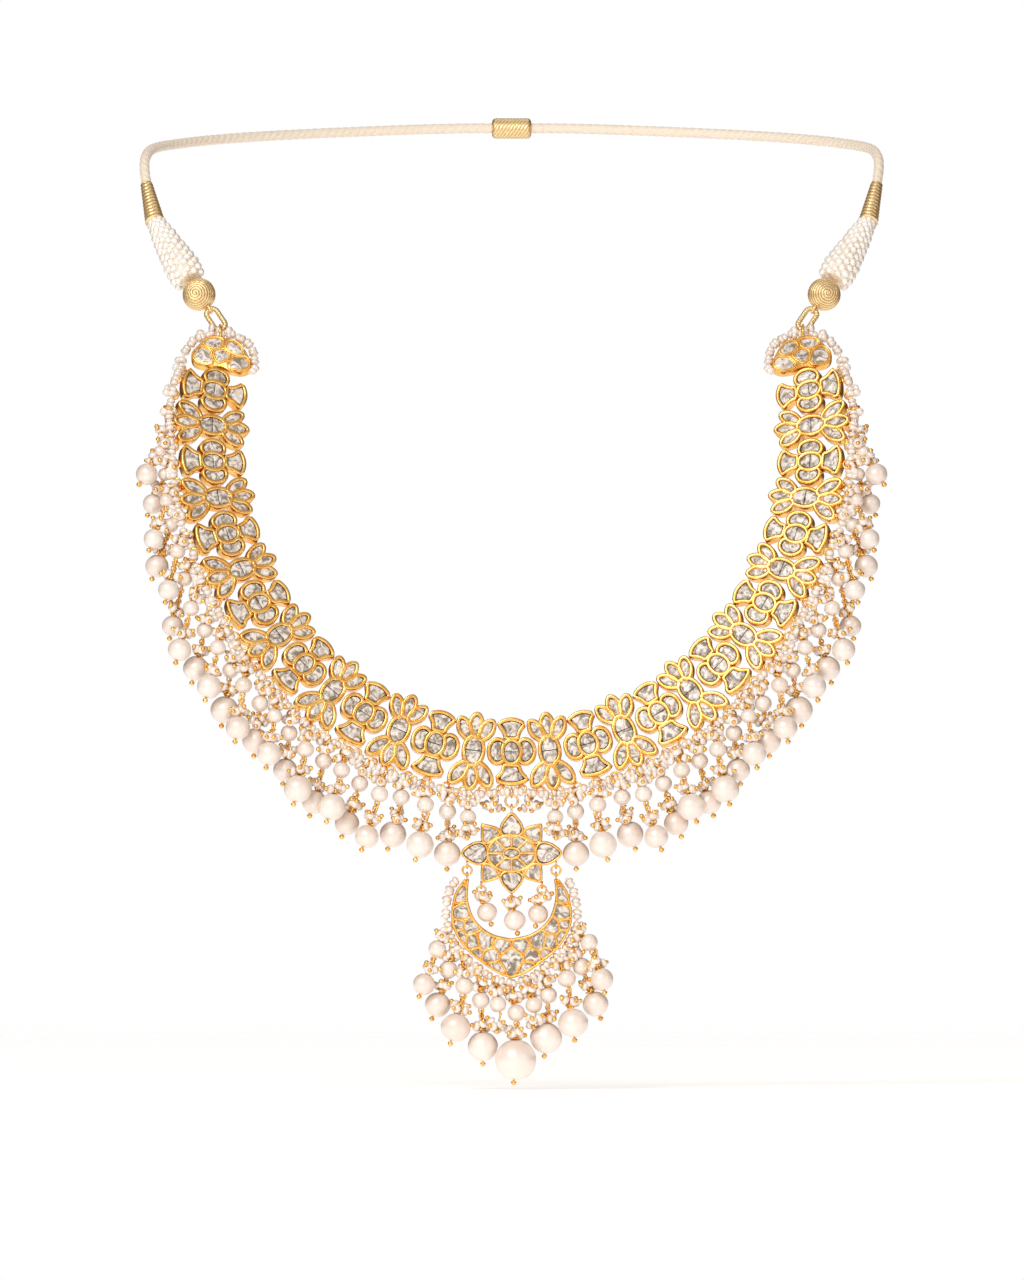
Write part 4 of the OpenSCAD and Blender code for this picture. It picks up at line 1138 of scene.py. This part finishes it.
# Star
# The star hangs from the middle plaque on a large ring: a frame of sheet gold with four square
# corners and four pointed petals round a wheel of small stones, with loops for its three drops
# and for the rings of the crescent.
# Cells as in a plaque: the stone in the middle and the four petals
STAR_EYE = (0, 0, 0.95, 1.75, 90, 0, 1.1)
STAR_PETALS = [
    (0, 6.7, 2.1, 2.1, 0, -0.4, 0.9), (0, -6.8, 2.1, 1.85, 180, -0.4, 0.9),
    (-8.85, 0, 2.15, 2.4, 90, -0.3, 0.9), (8.85, 0, 2.15, 2.4, -90, -0.3, 0.9),
]
STAR_TIP = 0.6
STAR_WALL = 0.6
EYE_EDGE = 0.1
EYE_WALL = 0.4
# A corner's plate, as points of the upper right one
STAR_CORNER = np.array([(1, 1), (2.9, 6), (5.2, 7), (7.6, 7.5), (7.75, 4.9), (7.6, 2.4)])
CORNER_ROUND = 0.25
STAR_H = -25.4
PENDANT_T = 3.0
PENDANT_TOP = -0.45
# The star's inner wheel: half sizes of its stones' ring and of its middle, its spokes' angles,
# and its rim's wire and depth
WHEEL_OUT = (6.0, 4.6)
WHEEL_IN = (2.1, 1.4)
SPOKES = (0, 48, 90)
SPOKE_HALF = 0.26
WHEEL_WIRE = 0.33
WHEEL_Z = -0.28
# The opening of a corner stone, with its outer corner kept sharp by close points
CORNER_OPENING = np.array([
    (3.2, 5.3), (3.9, 6.05), (5.2, 6.4), (6.5, 6.7), (7.1, 6.85), (7.15, 6.2), (7.1, 4.6), (7.0, 3.0),
    (5.8, 2.75), (4.6, 3.7), (3.7, 4.5),
])
HANG_WIRE = 0.29
HANG_R = 1.54
LINK_GAP = 0.1
SIDE_X = 11.1
SIDE_RING_Z = -188.1
SIDE_RING_R = 1.15
STAR_BAIL_R = 1.25
SIDE_LOOP_R = 0.92
HORN_LOOP_R = 1.0
DROP_LOOP_R = 0.8
DROP_LOOPS = [(-7.6, -33.35), (0, -35.95), (7.6, -33.35)]
WIRE_STEP = 2 * RING_WIRE + LINK_GAP


def upright_frame(h):
    """The place and turn of a pendant that hangs upright, with its front at zero."""
    return np.array([0, hang_y - PENDANT_T / 2, h - BAND_DROP]), turn_x(90)


def edge_loop(x, z, radius):
    """A soldered loop seen edge on from the front."""
    return torus((x, hang_y, z), (1, 0, 0), radius, RING_WIRE, 20, 8)


def cut_corners(outline):
    """An outline whose corners are cut off at a quarter of each side."""
    after = np.roll(outline, -1, axis=0)
    ends = np.stack([0.75 * outline + 0.25 * after, 0.25 * outline + 0.75 * after], 1)
    return evenly_round(ends.reshape(-1, 2))


def wheel_rim():
    """The raised oval rim round the wheel: a ring drawn out across its longer way."""
    ring = torus((0, 0, WHEEL_Z), (0, 0, 1), WHEEL_OUT[1], WHEEL_WIRE, 48)
    return ring._replace(points=ring.points * (WHEEL_OUT[0] / WHEEL_OUT[1], 1, 1))


def wheel_cell(start, end):
    """The opening between two spokes: an arc of the outer ellipse and one of the inner, drawn in
    by half a spoke."""
    a = np.radians(np.linspace(start, end, 12))
    ring = np.stack([np.cos(a), np.sin(a)], -1)
    return grown(evenly_round(np.vstack([ring * WHEEL_OUT, ring[::-1] * WHEEL_IN])), -SPOKE_HALF)


def four_ways(outline):
    """An outline and its mirror images across both axes, all counted the same way round."""
    across = (outline * (-1, 1))[::-1]
    return [outline, across, (outline * (1, -1))[::-1], (across * (1, -1))[::-1]]


star_openings = [
    cell_outline(STAR_EYE, EYE_EDGE),
    *(cell_outline(c, STONE_EDGE, STAR_TIP) for c in STAR_PETALS),
    *four_ways(cut_corners(CORNER_OPENING[::-1])),
    *(cell for start, end in zip(SPOKES, SPOKES[1:]) for cell in four_ways(wheel_cell(start, end))),
]
star_cups = [cup(o, PENDANT_T, STAR_WALL if k else EYE_WALL) for k, o in enumerate(star_openings)]
corners = [
    plate(evenly_round(o, PLATE_STEPS), o.mean(axis=0), PENDANT_T, PENDANT_TOP, CORNER_ROUND)
    for o in four_ways(STAR_CORNER[::-1])
]
star_axis = loop_at[2] - LOOP_R + RING_WIRE + HANG_WIRE + LINK_GAP - 2 * HANG_R
bail_z = star_axis + HANG_WIRE + RING_WIRE + LINK_GAP - STAR_BAIL_R
side_z = SIDE_RING_Z + SIDE_RING_R - WIRE_STEP + SIDE_LOOP_R
star_shape = joined([
    placed(joined([*corners, *star_cups, wheel_rim()]), upright_frame(STAR_H)),
    edge_loop(0, bail_z, STAR_BAIL_R),
    *(edge_loop(x, side_z, SIDE_LOOP_R) for x in (-SIDE_X, SIDE_X)),
    *(edge_loop(x, h - BAND_DROP, DROP_LOOP_R) for x, h in DROP_LOOPS),
])
made_of("star_frame", star_shape, setting_gold, "star", ["star_setting"])
star_polki = placed(joined(stone_shape(o[::2]) for o in star_openings), upright_frame(STAR_H))
made_of("star_polki", star_polki, polki, "star", ["star_stones"], smooth=False)


def hang_drops(pendant):
    """The drops of a pendant, whose nodes and body are named for it."""
    pearls, seeds, gold = fringe(drops_of(f"{pendant}_wires", f"{pendant}_pearls"))
    made_of(f"{pendant}_drops", pearls, nacre, pendant, [f"{pendant}_pearls"])
    made_of(f"{pendant}_tiny_pearls", seeds, seed_nacre, pendant)
    made_of(f"{pendant}_wrapped_wire", gold, wire_gold, pendant)
    dress(wire_gold, f"{pendant}_wires")


hang_drops("star")
dress(wire_gold, "hanging_ring", "crescent_rings")

# Crescent
# A gold crescent plate hangs from the star by two rings. Its stones are packed in two rows of
# cups within a raised edge, tiny pearls are threaded along its outer edge, and eleven drops hang
# there.
CRESCENT_CELLS = [
    (12.75, 7.1, 0.75, 1.7, 14, 0, 1),
    (12.65, 3.5, 1.3, 1.75, 8, 0, 0.9),
    (13.25, 0.05, 0.95, 1, 0, 0, 0.75),
    (10.15, -0.35, 1.5, 1.3, -35, -0.2, 0.9),
    (12.35, -3, 0.65, 1.35, -28, 0, 1),
    (9.75, -4.25, 1.2, 1.5, 0, 0, 0.85),
    (6.65, -3.85, 1.35, 1.75, -15, 0.1, 0.85),
    (8.65, -7.05, 1.15, 0.75, 30, 0, 0.9),
    (5.25, -7.7, 1.45, 1.35, 20, -0.2, 0.85),
    (2.35, -5.35, 1.25, 1.1, 180, -0.35, 0.85),
    (3.75, -10.3, 1.3, 0.65, 30, 0, 0.9),
]
CRESCENT_DROP_CELL = (0, -9.35, 2, 2.6, 180, -0.2, 1.05)
CRESCENT_OUTER = [(0, -13.4), (3.3, -12.2), (7, -9.8), (11.9, -5.6), (15, 0.5), (14.4, 7.4), (11.9, 11.4)]
CRESCENT_INNER = [(0, -3.4), (5.1, -2.1), (9.1, 1.3), (10.9, 6.4), (10.6, 11.4)]
CRESCENT_H = -43.35
CRESCENT_THREAD = [(0, -14.7), (3.9, -13.5), (7.9, -10.9), (13, -6.4), (16.3, 0.4), (15.8, 7.8), (13.6, 11.8)]
# Its raised edge: width, and the most that this may be of the plate's width
EDGE_BAND = 0.55
EDGE_MOST = 0.3
BLADE_STEPS = 96
BLADE_TOP = -0.5
# The plate's section: 0 at its outer and 1 at its inner curve, widths of the raised edge from
# there, height
BLADE_SECTION = np.array([
    (0, 0, 0.3 - PENDANT_T), (0, 0, -0.5), (0, 0.3, -0.1), (0, 0.7, 0), (0, 1, -0.1), (0, 1.4, BLADE_TOP),
    (1, -1.4, BLADE_TOP), (1, -1, -0.1), (1, -0.7, 0), (1, -0.3, -0.1), (1, 0, -0.5), (1, 0, 0.3 - PENDANT_T),
    (1, -0.3, -PENDANT_T), (0, 0.3, -PENDANT_T),
])
CRESCENT_WALL = 0.42
# The horns' part of the thread, as points of its curve
HORN_POINTS = 12


def both_sides(half):
    """A curve of one side carried on from its mirror image, which it meets in the middle."""
    half = np.asarray(half, float)
    return np.vstack([half[:0:-1] * (-1, 1), half])


def blade(outer, inner):
    """The crescent's plate: a closed section, with a rounded raised edge on each side, carried
    from horn to horn between the outer and the inner curve. Its ends are closed."""
    band = np.minimum(EDGE_BAND / np.linalg.norm(outer - inner, axis=1), EDGE_MOST)
    start, widths, z = BLADE_SECTION.T
    share = (start + widths * band[:, None])[..., None]
    flat = outer[:, None] + (inner - outer)[:, None] * share
    return capped(np.concatenate([flat, np.broadcast_to(z[:, None], share.shape)], -1))


def resampled(curve, steps):
    """The same curve with points at even steps."""
    return points_along(curve, np.linspace(0, run_of(curve)[-1], steps))


outer_edge = resampled(both_sides(smooth_curve(CRESCENT_OUTER, CURVE_STEPS)), BLADE_STEPS)
inner_edge = resampled(both_sides(smooth_curve(CRESCENT_INNER, CURVE_STEPS)), BLADE_STEPS)
left_cells = [(-x, y, half_w, half_l, -turn, *more) for x, y, half_w, half_l, turn, *more in CRESCENT_CELLS]
crescent_cells = [*CRESCENT_CELLS, *left_cells, CRESCENT_DROP_CELL]
crescent_edge = np.vstack([outer_edge, inner_edge[::-1]])
crescent_openings = packed(crescent_cells, crescent_edge, wall=CRESCENT_WALL, band=0.6, passes=0)
crescent_cups = [cup(o, PENDANT_T - BACK_IN, CRESCENT_WALL) for o in crescent_openings]
horn_z = SIDE_RING_Z - SIDE_RING_R + WIRE_STEP - HORN_LOOP_R
crescent_shape = joined([
    placed(joined([blade(outer_edge, inner_edge), *crescent_cups]), upright_frame(CRESCENT_H)),
    *(edge_loop(x, horn_z, HORN_LOOP_R) for x in (-SIDE_X, SIDE_X)),
])
made_of("crescent_frame", crescent_shape, setting_gold, "crescent", ["crescent_setting"])
crescent_polki = placed(joined(stone_shape(o[::2]) for o in crescent_openings), upright_frame(CRESCENT_H))
made_of("crescent_polki", crescent_polki, polki, "crescent", ["crescent_stones"], smooth=False)
x, h = both_sides(smooth_curve(CRESCENT_THREAD, CURVE_STEPS)).T
crescent_line = np.column_stack([x, np.full(len(x), hang_y), h + CRESCENT_H - BAND_DROP])
crescent_row = joined([
    seed_row(crescent_line[HORN_POINTS:-HORN_POINTS], SEED_STEP),
    seed_row(crescent_line[:HORN_POINTS + 1], BUTTON_STEP, 0),
    seed_row(crescent_line[-HORN_POINTS - 1:], BUTTON_STEP, 0),
])
made_of("crescent_seed_row", crescent_row, seed_nacre, "crescent")
hang_drops("crescent")

# Links and wound balls
# A long link, wound with gold thread, joins each cap to a ball of the same thread, wound round
# and round the line of sight over a core, with an eye of thick wire.
BALL_AT = (78.6, 114.8)
WOUND_R = 4.15
WINDS = 17
EYE_R = 1.1
EYE_WIRE = 0.35
EYE_OUT = 0.6
LINK_WIRE = 0.55
LINK_HALF = 1.45
LINK_THREAD_R = 0.68
LINK_PITCH = 0.62
LINK_STEPS = 180

ball_centre = spot(*BALL_AT)
cap_place, cap_turn = plaque_frame(CAP)
bail_top = cap_place + cap_turn @ (BAIL_AT[0], BAIL_AT[1] + BAIL_R, BAIL_AT[2])
chain_way = unit(ball_centre - bail_top)
eye_at = ball_centre - chain_way * (WOUND_R + EYE_OUT)
link_from = bail_top - chain_way * (BAIL_WIRE + LINK_WIRE + LINK_GAP)
link_to = eye_at - chain_way * (EYE_R - EYE_WIRE - LINK_WIRE - LINK_GAP)


def thread_finish():
    """Gold thread: bright turns flecked with pale lights, and grooves darkened brown as painted shade, where
    the mark is 0.
    """
    made, tree, output = new_material("thread_gold")
    fleck = noise(tree, 2200.0, 2.0)
    bright = mixed(tree, fleck, (0.93, 0.58, 0.20, 1), (1.0, 0.88, 0.58, 1))
    # Painted shade: the colour darkens to brown in the grooves between the turns, where the mark is 0.
    tone = mixed(tree, mark_of(tree), (0.40, 0.21, 0.055, 1), bright)
    return surfaced(made, output, tone, fleck, 0.4, 0.0002, Metallic=0.8, Roughness=0.34)


def groove(phase):
    """How high a wound surface stands, from 0 in a groove to 1 on a crest, by its wave's phase."""
    return np.abs(np.sin(phase)) ** 0.7


def wound_sphere(radius, winds, around=64, rows=136):
    """A ball of wound thread: its radius dips between the turns of a spiral, whose phase runs on
    by one turn each time round."""
    b = np.pi * (np.arange(rows)[:, None] + 0.5) / rows
    a = turns(around)
    crest = groove(winds * b + a / 2)
    size = radius * (0.95 + 0.05 * crest)
    out = np.sin(b) * size
    rings = np.stack([out * np.cos(a), out * np.sin(a), -np.cos(b) * size], -1)
    end = 0.98 * radius
    return shell(rings, (0, 0, -end), (0, 0, end), np.append(crest.ravel(), (1, 1)))


def ridged(line, radius, waves, depth_of, around=20):
    """A wound or twisted surface: circles carried along a line, whose radius dips where the wave
    of its turn and its distance along the line does."""
    a = turns(around)
    crest = groove(waves(a, run_of(line)[:, None]))
    size = radius[:, None] * (1 - depth_of * (1 - crest))
    flat = np.stack([size * np.cos(a), size * np.sin(a), 0 * size], -1)
    rings = np.einsum("nij,nkj->nki", frames_along(np.gradient(line, axis=0)), flat) + line[:, None]
    return capped(rings, np.append(crest.ravel(), (1, 1)))


thread_gold = thread_finish()
ball_frame = frames_along(np.array([[0.25, -1, 0.1]]))[0]
wound = placed(wound_sphere(WOUND_R, WINDS), (ball_centre, ball_frame))
# The eye and the link lie in one plane, across the line of sight
across = unit(np.cross(chain_way, np.cross((1, 0, 0), chain_way)))
eye = torus(eye_at, across, EYE_R, EYE_WIRE)
# The eye's mark is 1 all over, so it takes none of the painted groove shade.
eye = eye._replace(mark=np.ones(len(eye.points)))

# The link is a loop of two straight sides and two half circles, from the middle of one side on
half_turn = np.linspace(0, np.pi, 16)[:, None]
arc = LINK_HALF * (np.cos(half_turn) * across + np.sin(half_turn) * chain_way)
far = link_to - LINK_HALF * chain_way
near = link_from + LINK_HALF * chain_way
side_middle = (far + near) / 2 + LINK_HALF * across
loop = resampled(np.vstack([side_middle, far + arc, near - arc, side_middle]), LINK_STEPS)
link_radius = np.full(LINK_STEPS, LINK_THREAD_R)
link = ridged(loop, link_radius, lambda a, run: a / 2 + np.pi * run / LINK_PITCH, 0.12, 12)
made_both("wound_thread_*", joined([wound, eye]), thread_gold, "wound_ball_*")
made_both("link_thread_*", link, thread_gold, "cap_link_*")

# Bead bundles
# Fifteen strings of cream seed beads are gathered over a core into a bundle that tapers up to
# its wrap.
BUNDLE_FROM = (80.9, 118.3)
BUNDLE_TO = (89.9, 133.4)
BUNDLE_R = 4.5
# The bundle's radius as a share of BUNDLE_R, at shares of its length
BUNDLE_SHARES = np.array([0, 0.08, 0.25, 0.5, 0.78, 0.9, 1.0])
BUNDLE_RADII = np.array([0.86, 1.0, 1.0, 0.86, 0.68, 0.56, 0.5]) * BUNDLE_R
CORE_IN = 0.75
STRINGS = 15
BEADS = 10
BEAD_R = 1.0
BEAD_HALF = 0.98
# How deep the beads sit, as a share of their radius, and how far the strings turn on their way
BEAD_SINK = 0.8
STRING_TURN = 0.25

bundle_from, bundle_to = spot(*BUNDLE_FROM), spot(*BUNDLE_TO)
bundle_l = np.linalg.norm(bundle_to - bundle_from)
bundle_frame = frames_along((bundle_to - bundle_from)[None])[0]
heights = BUNDLE_SHARES * bundle_l
core = placed(lathe(BUNDLE_RADII - CORE_IN, heights, 32, heights[[0, -1]]), (bundle_from, bundle_frame))
string, share = np.meshgrid(np.arange(STRINGS), (np.arange(BEADS) + 0.5) / BEADS, indexing="ij")
share = share + (string % 2 - 0.5) * 0.5 / BEADS + chance.normal(0, 0.006, share.shape)
share = np.clip(share, 0.02, 0.97)
turn = 2 * np.pi * (string + chance.normal(0, 0.05, string.shape)) / STRINGS + STRING_TURN * share
out = np.interp(share, BUNDLE_SHARES, BUNDLE_RADII) - BEAD_SINK * BEAD_R
flat = np.stack([out * np.cos(turn), out * np.sin(turn), share * bundle_l], -1).reshape(-1, 3)
bead_ways = np.tile(bundle_frame[:, 2], (len(flat), 1))
beads = seeds_at(flat @ bundle_frame.T + bundle_from, bead_ways, BEAD_R, BEAD_HALF)
bead_cream = pearl_finish("bead_cream", (0.98, 0.94, 0.89, 1), (0.96, 0.87, 0.76, 1), 900.0, 0.35)
string_silk = pearl_finish("string_silk", (0.93, 0.77, 0.57, 1), (0.86, 0.66, 0.44, 1), 900.0, 0.6)
made_both("beads_*", beads, bead_cream, "bead_bundle_*")
made_both("strings_*", core, string_silk)

# Thread wraps and cord
# Gold thread is wound over the ends of the strings, and a three-ply silk cord runs from there
# round the neck through a woven slider.
WRAP_TO = (92.1, 142.8)
WRAP_START_R = 2.52
WRAP_END_R = 1.55
WRAP_TURNS = 11
CORD_R = 1.3
CORD_PLIES = 3
CORD_LAY = 6.3
CORD_STEPS = 700
SLIDER_R = 2.6
SLIDER_L = 10.0
SLIDER_STEPS = 80
# The weave's waves round the slider, and the length of one of them, over which its ends round off
SLIDER_WAVES = 6
SLIDER_WAVE = 0.9
SLIDER_ROUND = 0.75
CORD_ROUTE = [
    (92.7, -61, -11.2), (92.4, -56.6, -8.4), (90.6, -48.6, -6.2), (85, -36.6, -4.8),
    (75, -24.4, -3.4), (61, -13.8, -2.2), (44, -5.4, -1.2), (26, -0.2, -0.4), (12, 2.2, 0), (0, 2.6, 0),
]

wrap_to = spot(*WRAP_TO)
wrap_l = np.linalg.norm(wrap_to - bundle_to)
wrap_t = np.linspace(0, 1, 12 * WRAP_TURNS)
wrap_line = bundle_to + (wrap_to - bundle_to) * wrap_t[:, None]
wrap_radius = WRAP_START_R * (1 - wrap_t) + WRAP_END_R * wrap_t
wrap = ridged(wrap_line, wrap_radius, lambda a, run: a / 2 + np.pi * WRAP_TURNS * run / wrap_l, 0.11)
made_both("wrap_*", wrap, thread_gold, "thread_wrap_*")

cord_half = smooth_curve(np.vstack([wrap_to, CORD_ROUTE]), 24)
cord_line = resampled(np.vstack([cord_half, cord_half[-2::-1] * (-1, 1, 1)]), CORD_STEPS)
cord = ridged(cord_line, np.full(CORD_STEPS, CORD_R),
              lambda a, run: CORD_PLIES * (a / 2 + np.pi * run / CORD_LAY), 0.2, 24)
made_of("cord", cord, cream_silk, nodes=["back_cord"])
slider_t = np.linspace(-0.5, 0.5, SLIDER_STEPS)
slider_line = np.outer(slider_t * SLIDER_L, (1, 0, 0)) + (0, CORD_ROUTE[-1][1], 0)
slider_end = np.clip((0.5 - np.abs(slider_t)) * SLIDER_L / SLIDER_WAVE, 0, 1)
slider = ridged(slider_line, SLIDER_R - SLIDER_ROUND * (1 - slider_end) ** 2,
                lambda a, run: SLIDER_WAVES * a + np.pi * run / SLIDER_WAVE, 0.06, 48)
made_of("slider", slider, thread_gold, nodes=["cord_slider"])
